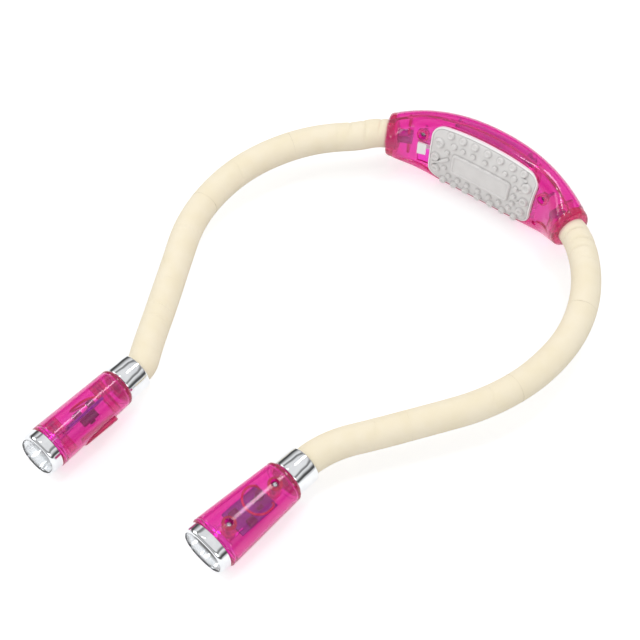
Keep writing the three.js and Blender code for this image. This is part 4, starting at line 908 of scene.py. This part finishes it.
# %% [markdown]
# ## Latch
# The latch is a small white tab that springs back when the door is pushed shut. Its engineering shape
# is right but for its sharp edges, and a moulded edge always catches a thin light. A bevel modifier
# rounds the edges and leaves the node's own mesh as it is.

# %% Latch with rounded edges
latch = nodes["door_latch"]
paint(latch, white_abs)
rounding = latch.modifiers.new("Rounding", "BEVEL")
rounding.width = 0.28 * MM
rounding.segments = 3
rounding.limit_method = "ANGLE"
rounding.angle_limit = math.radians(40)
print("latch keeps its shape and gets rounded edges")

# %% [markdown]
# ## The arms' route
# Each arm leaves its mouth, bends in plan through seven stretches and falls a few millimetres to its
# head. A curve object could be drawn by hand, but the head has to sit exactly at its end. So the route
# is a chain of arcs, each with a length and a turn, and a function gives any point of it.

# %% Route of an arm
STRETCHES = [12, 12, 68, 65, 60, 21, 9]
ARM_LENGTH = sum(STRETCHES)
ARMS = {
    "left": {"side": -1, "turns": [25.1, -12.3, 39.9, 36.3, -1.6, 3, -31.3],
             "drop": 6.6, "pitch": 1.3, "roll": 63},
    "right": {"side": 1, "turns": [-16.9, -8.2, -43, -32.9, -2.6, 19.1, 10.7],
              "drop": 7.2, "pitch": 2.9, "roll": -10},
}


def first_heading(arm):
    return -HALF_ANGLE if arm["side"] > 0 else HALF_ANGLE - 180


def heading_at(arm, length):
    heading = first_heading(arm)
    left = max(0, length)
    for run, turn in zip(STRETCHES, arm["turns"]):
        heading += turn * min(1, left / run)
        left = max(0, left - run)
    return heading


def direction_at(arm, length):
    heading = math.radians(heading_at(arm, length))
    return Vector((math.cos(heading), math.sin(heading), 0))


def head_axis(arm):
    pitch = math.radians(arm["pitch"])
    return direction_at(arm, ARM_LENGTH) * math.cos(pitch) - UP * math.sin(pitch)


def route_point(arm, length):
    place = arc_centre(arm["side"] * HALF_ANGLE) + SHIFT
    if length < 0:
        return place + direction_at(arm, 0) * length
    heading = first_heading(arm)
    left = min(length, ARM_LENGTH)
    for full, whole_turn in zip(STRETCHES, arm["turns"]):
        if left <= 0:
            break
        run = min(left, full)
        turn = whole_turn * run / full
        half = math.radians(turn / 2)
        chord = run * (math.sin(half) / half if half else 1)
        middle = math.radians(heading + turn / 2)
        place = place + Vector((math.cos(middle), math.sin(middle), 0)) * chord
        heading += turn
        left -= run
    place = place - UP * (arm["drop"] * min(length, ARM_LENGTH) / ARM_LENGTH)
    if length > ARM_LENGTH:
        place = place + head_axis(arm) * (length - ARM_LENGTH)
    return place


print("route:", ARM_LENGTH, "mm from each mouth to its head")

# %% [markdown]
# ## Foam sleeves
# A foam sleeve is soft closed-cell rubber, dull and slightly wrinkled on the inside of its bends. A
# curve with a round bevel would be quick, but it takes no wrinkles and has no bore. So each sleeve is a
# bent grid whose radius dips at its creases. It comes in four lengths, and each crosses one joint.

# %% Creases in the foam
FOAM_RADIUS = 8.5
FOAM_BORE = 4.5
CREASE_WIDTH = 0.8
SWELL_DEPTH = 0.05
# creases: place along the arm, turn round it (0 is outward of the route's left), reach in turn, depth
CREASES = {
    "left": [(5, 1.9, 1.3, 0.7), (14, 1.5, 1.5, 0.8), (23, 1.9, 1.1, 0.6), (30, 1.2, 0.9, 0.35),
             (96, 1.2, 1.2, 0.4), (150, 1.6, 1.3, 0.4), (206, 1.3, 1.1, 0.5), (214, 1.5, 1.2, 0.5)],
    "right": [(6, 1.6, 1.5, 0.9), (13, 1.3, 1.4, 0.8), (19, 1.8, 1.2, 0.8), (27, 1.5, 1.0, 0.5),
              (60, 1.2, 0.9, 0.3), (140, 1.5, 1.1, 0.45), (206, 1.5, 1.1, 0.5)],
}


def foam_radius(label, length, turn):
    radius = FOAM_RADIUS - SWELL_DEPTH + SWELL_DEPTH * math.sin(length / 7.3 + 2 * math.sin(turn))
    for place, at, reach, depth in CREASES[label]:
        far = (length - place - 1.2 * math.cos(turn * 1.5)) / CREASE_WIDTH
        around = math.remainder(turn - at, 2 * math.pi) / reach
        if abs(far) < 2.5 and abs(around) < 1:
            radius -= depth * math.exp(-far * far) * (1 - around * around)
    return radius


print("creases:", {label: len(rows) for label, rows in CREASES.items()})


# %% Sleeves
RING_STEP = 0.5
BORE_STEP = 3
EDGE_ROUND = 0.25
EDGE_CUT = 0.9


def sleeve(label, name, start, end, open_start, open_end):
    """One length of sleeve: its rings go out along the skin and come back along the bore."""
    arm = ARMS[label]
    run = end - start
    steps, bore_steps = round(run / RING_STEP), round(run / BORE_STEP)
    rings = [(start, FOAM_BORE), (start, FOAM_RADIUS - EDGE_CUT * open_start),
             (start + EDGE_ROUND * open_start, None)]
    rings += [(start + run * i / steps, None) for i in range(1, steps)]
    rings += [(end - EDGE_ROUND * open_end, None), (end, FOAM_RADIUS - EDGE_CUT * open_end), (end, FOAM_BORE)]
    rings += [(end - run * i / bore_steps, FOAM_BORE) for i in range(1, bore_steps + 1)]

    def place(u, v):
        length, radius = pick_ring(rings, u)
        turn = v * 2 * math.pi
        if radius is None:
            radius = foam_radius(label, length, turn)
        forward = direction_at(arm, length) if length < ARM_LENGTH else head_axis(arm)
        across = UP.cross(forward).normalized()
        up = forward.cross(across)
        return route_point(arm, length) + (across * math.cos(turn) + up * math.sin(turn)) * radius

    return skin(name, place, len(rings) - 1, 48)


JOINTS = [24, 92, 157, 217]
CUTS = [-6, 58, 124.5, 187, 255]
PARTS = ["housing_end", "rear", "middle", "front", "head_end"]
BLEND_REACH = 14


for label, arm in ARMS.items():
    for i in range(4):
        piece = sleeve(label, f"{label}_sleeve_{i + 1}", CUTS[i], CUTS[i + 1], i == 0, i == 3)
        dress(piece, cream_foam, 50)
        reach = min(BLEND_REACH, JOINTS[i] - CUTS[i] - 2, CUTS[i + 1] - JOINTS[i] - 2)
        near = route_point(arm, JOINTS[i] - reach) * MM
        far = route_point(arm, JOINTS[i] + reach) * MM
        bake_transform(piece)
        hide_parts(f"{label}_arm_foam_{PARTS[i]}", f"{label}_arm_foam_{PARTS[i + 1]}")
print("sleeves: 8 lengths of foam,", round(ARM_LENGTH), "mm of route a side")

# %% [markdown]
# ## Lamp heads
# Both heads are the same moulding, turned differently about their own axis. They could be made in
# place, but a form is easier to judge when it lies straight. So one head is modelled along its own X,
# with its screws upwards, and at the end each piece is copied and set in place for both sides.

# %% Head sizes and its oval form
COLLAR_LENGTH = 14
BODY_REAR = COLLAR_LENGTH + GAP
BODY_LENGTH = 52.5
BODY_FRONT = BODY_REAR + BODY_LENGTH
BEZEL_REAR = BODY_FRONT + GAP
BEZEL_FRONT = BEZEL_REAR + 6.7
REAR_WIDE, FRONT_WIDE = 12.3, 15.5
REAR_THICK, FRONT_THICK = 11.25, 12.7
HEAD_SCREWS = {"screw_front": 56.4, "screw_rear": 23.4}
IDENTITY = Matrix.Identity(4)
HEAD_AXIS = frame_at(Vector((0, 0, 0)), (0, 1, 0), (0, 0, 1), (1, 0, 0))


def half_width(x):
    return REAR_WIDE + (FRONT_WIDE - REAR_WIDE) * (x - BODY_REAR) / BODY_LENGTH


def half_thickness(x):
    return REAR_THICK + (FRONT_THICK - REAR_THICK) * (x - BODY_REAR) / BODY_LENGTH


def oval(x, wide, thick, turn, power=2 / 2.3):
    return Vector((x, wide * powered(math.cos(turn), power), thick * powered(math.sin(turn), power)))


def oval_form(name, stations, sides=72):
    """A closed form of oval sections: each station is (x, half width, half thickness)."""
    def place(u, v):
        x, wide, thick = pick_ring(stations, u)
        return oval(x, wide, thick, v * 2 * math.pi)

    return skin(name, place, len(stations) - 1, sides)


def oval_at(x, inset):
    """A station of the body's form at a place along it, drawn in by an inset."""
    return (x, half_width(x) - inset, half_thickness(x) - inset)


def plain_stations(inset, rear, front, count=10):
    return [oval_at(rear + (front - rear) * i / count, inset) for i in range(count + 1)]


def head_screw_frame(x):
    """A frame at a head screw, whose Z goes down into the head."""
    return frame_at(Vector((x, 0.6, 0)), (1, 0, 0), (0, -1, 0), (0, 0, -1))


print("head:", round(BEZEL_FRONT, 1), "mm long,", 2 * FRONT_WIDE, "mm wide at its front")

# %% [markdown]
# ## Body shells
# The body is two half shells of clear plastic, screwed together. Rolled lips at both ends stand a
# little proud of a groove, which gives the bright double line in the photograph. The groove is only a
# third of a millimetre deep, so rings are set closely there and the form is drawn in by a formula. The
# whole body is made once, then cut to a screw side and a button side.

# %% Body form with its lips
LIP_ROUND = 1.2
GROOVE_DEPTH = 0.32
GROOVE_WIDTH = 0.45
GROOVES = (BODY_REAR + 2.6, BODY_FRONT - 2.4)


def groove_at(x):
    return GROOVE_DEPTH * sum(math.exp(-((x - place) / GROOVE_WIDTH) ** 2) for place in GROOVES)


turns = [i / 5 * math.pi / 2 for i in range(6)]
rounds = [(LIP_ROUND * (1 - math.sin(t)), LIP_ROUND * (1 - math.cos(t))) for t in turns]
run = BODY_LENGTH - 2 * LIP_ROUND
places = [(BODY_REAR + along, cut) for along, cut in reversed(rounds)]
places += [(BODY_REAR + LIP_ROUND + run * i / 40, 0) for i in range(1, 40)]
places += [(BODY_FRONT - along, cut) for along, cut in rounds]
places += [(place + i * 0.2, 0) for place in GROOVES for i in range(-6, 7)]
stations = [oval_at(x, cut + groove_at(x)) for x, cut in sorted(places)]
body_form = oval_form("body_form", stations)
cavity_form = oval_form("cavity_form", plain_stations(WALL, BODY_REAR + WALL, BODY_FRONT + 2), 56)
boss_form = oval_form("boss_form", plain_stations(WALL * 0.5, BODY_REAR, BODY_FRONT), 56)
plug = rod("neck_plug", FOAM_RADIUS, BODY_REAR - 4.5, BODY_REAR + WALL, HEAD_AXIS, 48)
neck_bore = rod("neck_bore", CORE_BORE, BODY_REAR - 7, BODY_REAR + 4, HEAD_AXIS, 32)
print("body form:", len(stations), "rings")


# %% Two half shells
def head_shell(name, side):
    shell = copy_of(body_form, name)
    carve(shell, cavity_form, keep_tool=True)
    carve(shell, plug, "UNION", keep_tool=True)
    for x in HEAD_SCREWS.values():
        low_end, high_end, radius = (-20, -GAP / 2, 4.0) if side > 0 else (GAP / 2, 20, 2.5)
        tube = rod("tube", radius, low_end, high_end, head_screw_frame(x), 40)
        carve(tube, boss_form, "INTERSECT", keep_tool=True)
        carve(shell, tube, "UNION")
    near, far = sorted((side * GAP / 2, side * 20))
    carve(shell, block("half", (0, -20, near), (BEZEL_FRONT, 20, far), IDENTITY), "INTERSECT")
    carve(shell, neck_bore, keep_tool=True)
    return shell


screw_side = head_shell("screw_side_shell", 1)
for x in HEAD_SCREWS.values():
    at = head_screw_frame(x)
    carve(screw_side, rod("well", SCREW_WELL, -20, -8.0, at, 32))
    carve(screw_side, rod("hole", SCREW_HOLE, -20, 20, at, 20))
weld(screw_side)
button_side = head_shell("button_side_shell", -1)
for x in HEAD_SCREWS.values():
    carve(button_side, rod("pilot", SCREW_HOLE, -2, 9.4, head_screw_frame(x), 20))
slope = math.atan((FRONT_THICK - REAR_THICK) / BODY_LENGTH)
BUTTON_CENTRE, BUTTON_LENGTH, BUTTON_WIDTH = 38, 23.4, 9
out = Vector((math.sin(slope), 0, -math.cos(slope)))
back = Vector((-math.cos(slope), 0, -math.sin(slope)))
button_frame = frame_at(Vector((BUTTON_CENTRE, 0, -half_thickness(BUTTON_CENTRE))),
                        back, out.cross(back), out)


def long_oval(name, length, width, profile, matrix, count=56):
    """A stadium outline whose rings have an inset and a height."""
    def place(u, v):
        inset, height = pick_ring(profile, u)
        x, y = outlines[inset][round(v * count) % count]
        return matrix @ Vector((x, y, height))

    outlines = {inset: oblong(length - 2 * inset, width - 2 * inset, width / 2 - inset - 0.01, count)
                for inset, _ in profile}
    return skin(name, place, len(profile) - 1, count)


carve(button_side, long_oval("slot", BUTTON_LENGTH + 2 * GAP, BUTTON_WIDTH + 2 * GAP, [(0, -4), (0, 3)],
                             button_frame))
weld(button_side)
for tool in (body_form, cavity_form, boss_form, plug, neck_bore):
    bpy.data.objects.remove(tool)
print("head shells:", len(screw_side.data.polygons), "and", len(button_side.data.polygons), "faces")

# %% [markdown]
# ## Button, collar and bezel
# The button is a long oval cap with a flange that keeps it in the head. The chromed collar and bezel
# are plated mouldings, and chrome shows every change of slope as a line. So their edges are rounded in
# the profile itself, ring by ring, where a bevel would leave seams in the reflections.

# %% Button and collar
# rings of inset and height over the head's side
BUTTON_PROFILE = [(0.4, -3.2), (0, -3.0), (0, 0.3), (0.06, 0.72), (0.25, 1.02), (0.6, 1.22), (1.1, 1.3),
                  (2.2, 1.26), (3.4, 1.24)]
button = long_oval("button", BUTTON_LENGTH, BUTTON_WIDTH, BUTTON_PROFILE, button_frame)
carve(button, block("flange", (-7.5, -5.4, -3.2), (7.5, 5.4, -1.8), button_frame, bevel=0.3), "UNION")
weld(button)
collar_profile = [(8.8, 0.7), (9.1, 0.2), (9.6, 0), (10.2, 0), (10.6, 0.12), (10.88, 0.4), (11, 0.8),
                  (11, 4), (11, 8), (11, 13.2), (10.88, 13.6), (10.6, 13.88), (10.2, 14), (8.8, 14),
                  (8.8, 10), (8.8, 6), (8.8, 0.7)]
collar = turned("collar", collar_profile, 96, HEAD_AXIS)
print("button:", BUTTON_LENGTH, "x", BUTTON_WIDTH, "mm; collar:", COLLAR_LENGTH, "mm long")

# %% Bezel
LAMP_PLACE = 4.8
LENS_REAR = BEZEL_FRONT - 0.5 - 1.2
CUP_DEPTH = 7.8
CUP_FRONT = LENS_REAR - GAP
CUP_REAR = CUP_FRONT - CUP_DEPTH
CUP_REAR_RADIUS, CUP_FRONT_RADIUS = 3.3, 7.9
BEZEL_WIDE, BEZEL_THICK = 14.6, 12.55
ROUND_LENGTH, ROUND_DEPTH = 2.6, 1.5
bezel_stations = [(BEZEL_REAR - 4, 13.3, 10.6), (BEZEL_REAR - 0.05, 13.3, 10.6), (BEZEL_REAR, 13.9, 11.8),
                  (BEZEL_REAR + 0.1, 14.3, 12.25), (BEZEL_REAR + 0.5, BEZEL_WIDE, BEZEL_THICK),
                  (BEZEL_REAR + 2.5, BEZEL_WIDE, BEZEL_THICK), (BEZEL_FRONT - 2.7, BEZEL_WIDE, BEZEL_THICK)]
for i in range(1, 10):
    turn = i / 9 * math.pi / 2
    inset = ROUND_DEPTH * (1 - math.cos(turn))
    x = BEZEL_FRONT - ROUND_LENGTH * (1 - math.sin(turn))
    bezel_stations.append((x, BEZEL_WIDE - inset, BEZEL_THICK - inset))
bezel = oval_form("bezel", bezel_stations, 96)
seat_stations = [(CUP_FRONT, 12.95, 10.75), (BEZEL_FRONT - 0.2, 12.95, 10.75), (BEZEL_FRONT + 1, 13.0, 10.8)]
carve(bezel, oval_form("seat", seat_stations, 96))


def lamp_axis(side):
    return Matrix.Translation(Vector((0, side * LAMP_PLACE, 0))) @ HEAD_AXIS


# %% [markdown]
# ## Reflector cups
# Each lamp sits at the foot of a metallised cup that throws its light forward. A cone would do at a
# glance, but a real reflector is a paraboloid, and its curve gathers the bright spots round the lamp.
# The cups are cut from the bezel, and the faces inside them get a finish of their own.

# %% Cups
def cup_point(share):
    """A paraboloid: the square of the radius grows evenly with the depth."""
    spread = CUP_FRONT_RADIUS ** 2 - CUP_REAR_RADIUS ** 2
    return (math.sqrt(CUP_REAR_RADIUS ** 2 + spread * share), CUP_REAR + CUP_DEPTH * share)


cup_profile = [(0, CUP_REAR), *[cup_point(i / 12) for i in range(13)],
               (CUP_FRONT_RADIUS, CUP_FRONT + 1), (0, CUP_FRONT + 1)]
cups = []
for side in (-1, 1):
    cups.append(turned("cup", cup_profile, 64, lamp_axis(side)))
    cups.append(rod("led_hole", 2.8, BODY_REAR + 20, CUP_REAR + 1, lamp_axis(side), 32))
for cup in cups:
    carve(bezel, cup)
weld(bezel)
dress(bezel, chrome, 34)
bezel.data.materials.append(reflector)
for face in bezel.data.polygons:
    middle = face.center / MM
    off_axis = min(math.hypot(middle.y - side * LAMP_PLACE, middle.z) for side in (-1, 1))
    if CUP_REAR - 0.01 < middle.x < CUP_FRONT + 0.01 and off_axis < CUP_FRONT_RADIUS + 0.02:
        face.material_index = 1
cup_faces = sum(face.material_index for face in bezel.data.polygons)
print("bezel:", len(bezel.data.polygons), "faces,", cup_faces, "of them in the cups")

# %% [markdown]
# ## Lens and lamps
# The lens is a clear oval plate with a slight dome, which gives the one soft highlight over the cups.
# Its rings lie close at the edge and spread inwards, because smooth shading over one wide ring would
# bend the light like a second lens. The lamps are 5 mm LEDs: a domed body, a chip and two legs.

# %% Lens
LENS_WIDE = (0.3, 2, 4, 6, 8, 9.6, 11, 12.1)
LENS_SHAPE = 0.82
DOME = 0.42
lens_profile = [(LENS_REAR, r, r * LENS_SHAPE) for r in LENS_WIDE if r in (0.3, 4, 8, 12.1)]
lens_profile += [(LENS_REAR, 12.4, 10.2), (LENS_REAR + 0.1, 12.8, 10.6), (LENS_REAR + 0.3, 12.9, 10.7),
                 (LENS_REAR + 0.9, 12.9, 10.7), (LENS_REAR + 1.1, 12.8, 10.6), (LENS_REAR + 1.2, 12.4, 10.2)]
lens_profile += [(LENS_REAR + 1.22 + DOME * (1 - (r / LENS_WIDE[-1]) ** 2), r, r * LENS_SHAPE)
                 for r in reversed(LENS_WIDE)]
lens = oval_form("lens", lens_profile, 96)
print("lens:", len(lens.data.polygons), "faces")

# %% Lamps
LAMP_RADIUS = 2.5
LAMP_BASE = CUP_REAR + 4 - 8
LEG_PLACE, LEG_HALF = 1.27, 0.25
dome_turns = [i / 10 * math.pi / 2 for i in range(10)]
LAMP_PROFILE = [(0, 0), (2.7, 0), (2.9, 0.15), (2.9, 0.9), (2.8, 1.0), (LAMP_RADIUS, 1.05), (LAMP_RADIUS, 3),
                *[(LAMP_RADIUS * math.cos(t), 5.5 + LAMP_RADIUS * math.sin(t)) for t in dome_turns], (0, 8)]
CHIP_PROFILE = [(0, 3.2), (1.5, 3.2), (1.5, 3.5), (1.1, 4.4), (0, 4.4)]


def on_base(profile):
    return [(radius, LAMP_BASE + height) for radius, height in profile]


def lamp(side):
    body = turned("lamp", on_base(LAMP_PROFILE), 40, lamp_axis(side))
    chip = turned("chip", on_base(CHIP_PROFILE), 16, lamp_axis(side))
    y = side * LAMP_PLACE
    legs = [block("leg", (CUP_REAR - 14, y - LEG_HALF, z - LEG_HALF),
                  (LAMP_BASE + 0.5, y + LEG_HALF, z + LEG_HALF), IDENTITY) for z in (-LEG_PLACE, LEG_PLACE)]
    for piece, material in [(body, epoxy), (chip, phosphor), (legs[0], spring), (legs[1], spring)]:
        dress(piece, material)
    return joined([body, chip] + legs, "lamp")


lamps = {"led_1": lamp(-1), "led_2": lamp(1)}
print("lamps:", len(lamps), "with", len(lamps["led_1"].data.polygons), "faces each")

# %% [markdown]
# ## Lead and board parts
# Through the shell one sees a red lead looping round and some dark parts on the board. Without them
# the heads look empty. The lead is a NURBS curve with a round bevel, the usual way to make a wire,
# turned into a mesh. The parts are bevelled blocks and one turned can.

# %% Lead loop
LEAD_RADIUS = 0.65
LEAD_ROUTE = [(28.5, -5, 1.1), (28.5, -6.5, 2.6), (30.5, -8.6, 4.6), (36, -8.8, 6.2), (41, -6.4, 6.9),
              (43.6, -1.5, 7.1), (43, 4, 6.9), (39.5, 7.6, 6.2), (34, 8.4, 5.0), (29.5, 7.2, 3.2),
              (28.8, 5, 1.1)]


def swept(name, points, radius):
    """A smooth curve through points, given a round section and made a closed mesh."""
    curve = bpy.data.curves.new(name, "CURVE")
    curve.dimensions = "3D"
    spline = curve.splines.new("NURBS")
    spline.points.add(len(points) - 1)
    for point, place in zip(spline.points, points):
        point.co = (*(Vector(place) * MM), 1)
    spline.use_endpoint_u = True
    spline.order_u = 4
    curve.resolution_u = 8
    curve.bevel_depth = radius * MM
    curve.bevel_resolution = 3
    curve.use_fill_caps = True
    piece = bpy.data.objects.new(name, curve)
    bpy.context.scene.collection.objects.link(piece)
    pick(piece)
    bpy.ops.object.convert(target="MESH")
    return weld(bpy.context.object)


lead = swept("lead", LEAD_ROUTE, LEAD_RADIUS)
print("lead loop:", len(lead.data.polygons), "faces")

# %% Board parts
CAN_PROFILE = [(0, 0.7), (2.3, 0.7), (2.4, 0.9), (2.4, 4.9), (2.2, 5.2), (1.7, 5.2), (1.6, 5.05), (0, 5.05)]
# low corner, high corner and bevel of each block
PART_BLOCKS = {
    "chip_body": ((45.2, -6.2, 0.7), (50.4, -1.6, 2.3), 0.15),
    "ceramic_part_1": ((33.2, -3.4, 0.7), (36.6, -1.4, 1.9), 0.12),
    "ceramic_part_2": ((33.6, 1.4, 0.7), (37.0, 3.4, 1.9), 0.12),
    "coil_body": ((42.0, 3.2, 0.7), (46.6, 7.4, 4.0), 0.4),
}
parts = [block(name, low, high, IDENTITY, bevel) for name, (low, high, bevel) in PART_BLOCKS.items()]
parts.append(turned("can_part", CAN_PROFILE, 28, Matrix.Translation(Vector((31.5, -2.2, 0)))))
board_parts = dress(joined(parts, "board_parts"), switch_body, 30)
print("board parts:", len(parts), "on each board")

# %% [markdown]
# ## Both heads
# Two heads could share their meshes, but each piece has to end up at the origin, unturned and unscaled,
# for the export. So every piece gets a mesh of its own, is moved by its head's matrix, and the move is
# applied to the mesh. Each then rides on its head, but the button rides on its own sliding body.

# %% Copies for both heads
HEAD_PIECES = {
    "screw_side_shell": (screw_side, clear_magenta, "clear_magenta_plastic"),
    "button_side_shell": (button_side, clear_magenta, "clear_magenta_plastic"),
    "button": (button, clear_magenta, "clear_magenta_plastic"),
    "collar": (collar, chrome, "chrome"),
    "bezel": (bezel, None, "chrome"),
    "lens": (lens, lens_clear, "clear_lens"),
    "led_1": (lamps["led_1"], None, "led_epoxy"),
    "led_2": (lamps["led_2"], None, "led_epoxy"),
    "wire_red": (lead, lead_red, "red_wire"),
    "board_parts": (board_parts, None, "switch_black"),
}
for piece, material, slot in HEAD_PIECES.values():
    if material:
        dress(piece, material, 34)


def head_matrix(arm):
    forward = head_axis(arm)
    across = UP.cross(forward).normalized()
    at = frame_at(route_point(arm, ARM_LENGTH), forward, across, forward.cross(across))
    return at @ Matrix.Rotation(math.radians(arm["roll"]), 4, "X")


for label, arm in ARMS.items():
    at = head_matrix(arm)
    move = Matrix.Scale(MM, 4) @ at @ Matrix.Scale(1 / MM, 4)
    for part, (piece, material, slot) in HEAD_PIECES.items():
        twin = copy_of(piece, f"{label}_head_{part}_moulded")
        twin.matrix_world = move
        pick(twin)
        bpy.ops.object.transform_apply(location=True, rotation=True, scale=True)
        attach(twin, f"{label}_button" if part == "button" else f"{label}_head")
        if f"{label}_head_{part}" in nodes:
            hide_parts(f"{label}_head_{part}")
    for part, x in HEAD_SCREWS.items():
        node = f"{label}_head_{part}"
        make_screw(f"{node}_pan_head", at @ head_screw_frame(x), -9.9, f"{label}_head", node)
for piece, material, slot in HEAD_PIECES.values():
    bpy.data.objects.remove(piece)
print("heads: 2, each with", len(HEAD_PIECES) + 2, "pieces")

# %% [markdown]
# ## The nodes that keep their shape
# What lies inside the clear shells shows through them: the cells, their contacts, the boards and their
# switches. They could be modelled again, but seen through a tinted wall their engineering shapes are
# right, so they only get their real finishes.

# %% Finishes on kept nodes
KEPT = [("battery_contact", spring), ("battery_", jacket), ("_arm_core_", gooseneck), ("_board", board_blue),
        ("_switch", switch_body)]
dressed = []
for name, node in nodes.items():
    finishes = [material for mark, material in KEPT if mark in name and name != "battery_door"]
    if finishes:
        paint(node, finishes[0])
        dressed.append(name)
print("kept nodes dressed:", len(dressed))

# %% [markdown]
# ## Floor
# The photograph shows the light on a white ground with hardly any shadow. A floor lit to pure white
# would take the lamps past what the object can bear. So the paper is pale grey in the light, and
# where the camera, the chrome or the clear plastic sees it, it gives back a little light of its own.

# %% Floor
PAPER_LIFT = 0.55


def math_node(tree, operation, first, second):
    return add(tree, "ShaderNodeMath", {0: first, 1: second}, operation=operation).outputs[0]


bpy.ops.object.select_all(action="DESELECT")
bpy.ops.mesh.primitive_plane_add(size=6)
floor = bpy.context.object
floor.name = "floor"
floor.location.z = -0.0004
paper = bpy.data.materials.new("white_paper_sweep")
paper.use_nodes = True
tree = paper.node_tree
shader = tree.nodes["Principled BSDF"]
shader.inputs["Base Color"].default_value = srgb("#cfcfcf")
shader.inputs["Roughness"].default_value = 0.9
shader.inputs["Emission Color"].default_value = srgb("#ffffff")
ray = add(tree, "ShaderNodeLightPath").outputs
seen = math_node(tree, "MAXIMUM", ray["Is Camera Ray"], ray["Is Transmission Ray"])
seen = math_node(tree, "MAXIMUM", seen, ray["Is Glossy Ray"])
lift = math_node(tree, "MULTIPLY", seen, PAPER_LIFT)
tree.links.new(lift, shader.inputs["Emission Strength"])
floor.data.materials.append(paper)
print("floor: 6 m of paper")

# %% [markdown]
# ## The studio round it
# Chrome has no colour of its own: it looks like chrome only if it has bright and dark things to show.
# An even white world would turn it to grey paint. So mirrors see a room of bands, bright panels with
# dark gaps between them, by height and with a slight wander, while all other rays see even white.

# %% World
ROOM_LIGHT = 0.7
# share of the way up the room, and how bright the band is there
BANDS = [(0.0, 0.75), (0.10, 0.75), (0.16, 0.08), (0.32, 0.10), (0.40, 0.45), (0.50, 0.85), (0.60, 0.85),
         (0.65, 0.22), (0.75, 0.3), (0.83, 0.85), (1.0, 0.9)]
world = bpy.data.worlds.new("studio")
bpy.context.scene.world = world
world.use_nodes = True
tree = world.node_tree
backdrop = tree.nodes["Background"]
backdrop.inputs["Color"].default_value = srgb("#ffffff")
ray = add(tree, "ShaderNodeLightPath").outputs
where = add(tree, "ShaderNodeTexCoord").outputs["Generated"]
drift = add(tree, "ShaderNodeTexNoise", {"Vector": where, "Scale": 1.1, "Detail": 0.0})
height = add(tree, "ShaderNodeSeparateXYZ", {"Vector": where})
wander = add(tree, "ShaderNodeMapRange", {"Value": drift.outputs["Fac"], "From Min": 0.3, "From Max": 0.7,
                                          "To Min": -0.07, "To Max": 0.07})
way_up = math_node(tree, "ADD", height.outputs["Z"], wander.outputs["Result"])
panels = add(tree, "ShaderNodeValToRGB", {"Fac": way_up})
while len(panels.color_ramp.elements) < len(BANDS):
    panels.color_ramp.elements.new(0.5)
for stop, (position, value) in zip(panels.color_ramp.elements, BANDS):
    stop.position = position
    stop.color = (value, value, value, 1)
mirrored = add(tree, "ShaderNodeMix",
               {"Factor": ray["Is Glossy Ray"], "A": ROOM_LIGHT, "B": panels.outputs["Color"]})
straight = math_node(tree, "MAXIMUM", ray["Is Camera Ray"], ray["Is Transmission Ray"])
strength = add(tree, "ShaderNodeMix", {"Factor": straight, "A": mirrored.outputs[0], "B": 1.0})
tree.links.new(strength.outputs[0], backdrop.inputs["Strength"])
print("world:", len(BANDS), "bands for mirrors,", ROOM_LIGHT, "for the rest")

# %% [markdown]
# ## Lamps
# Clear and chromed pieces are drawn by their highlights, so the lamps are large and soft, and long
# where a highlight is long. One strip lies over the heads and a narrow one over the housing's panel.
# A key and a fill light from the two sides keep the foam round.

# %% Soft lamps
def soft_lamp(name, place, target, size, power):
    bpy.ops.object.light_add(type="AREA", location=Vector(place) * MM)
    lamp_object = bpy.context.object
    lamp_object.name = name
    lamp_object.data.shape = "RECTANGLE"
    lamp_object.data.size = size[0] * MM
    lamp_object.data.size_y = size[1] * MM
    lamp_object.data.energy = power
    aim = Vector(target) * MM - lamp_object.location
    lamp_object.rotation_euler = aim.to_track_quat("-Z", "Y").to_euler()


soft_lamp("strip_over_the_heads", (60, 520, 1060), (-20, -60, 20), (150, 600), 2.3)
soft_lamp("key_softbox", (-850, -350, 650), (0, 0, 20), (400, 400), 1.5)
soft_lamp("strip_over_the_panel", (-190, -120, 990), (-30, 120, 40), (50, 260), 0.5)
soft_lamp("fill_softbox", (700, -800, 500), (0, 0, 20), (500, 300), 1.6)
print("lamps: 4")

# %% [markdown]
# ## Camera
# The camera stands where the photograph's stood: to the right of the heads, well above them. It was
# found by fitting the engineering model's outline to the photograph, because an angle set by eye is
# soon some degrees off, and then every curve disagrees.

# %% Camera
AZIMUTH, ELEVATION, DISTANCE = math.radians(36), math.radians(52), 1203
SENSOR_WIDTH = 36
FOCAL_PIXELS, FRAME_PIXELS = 2141, 640
target = Vector((-15.8, 11.34, 0))
level = DISTANCE * math.cos(ELEVATION)
position = target + Vector((level * math.sin(AZIMUTH), -level * math.cos(AZIMUTH),
                            DISTANCE * math.sin(ELEVATION)))
camera_data = bpy.data.cameras.new("camera")
camera = bpy.data.objects.new("camera", camera_data)
bpy.context.scene.collection.objects.link(camera)
camera.location = position * MM
camera.rotation_euler = (target - position).to_track_quat("-Z", "Y").to_euler()
camera_data.sensor_width = SENSOR_WIDTH
camera_data.lens = FOCAL_PIXELS / FRAME_PIXELS * SENSOR_WIDTH
camera_data.clip_start = 0.01
bpy.context.scene.camera = camera
bpy.context.scene.view_settings.view_transform = "Standard"
print("camera at", [round(v) for v in position], "mm")

# %% [markdown]
# ## The end
# The view layer is brought up to date.

# %% The end
bpy.context.view_layer.update()
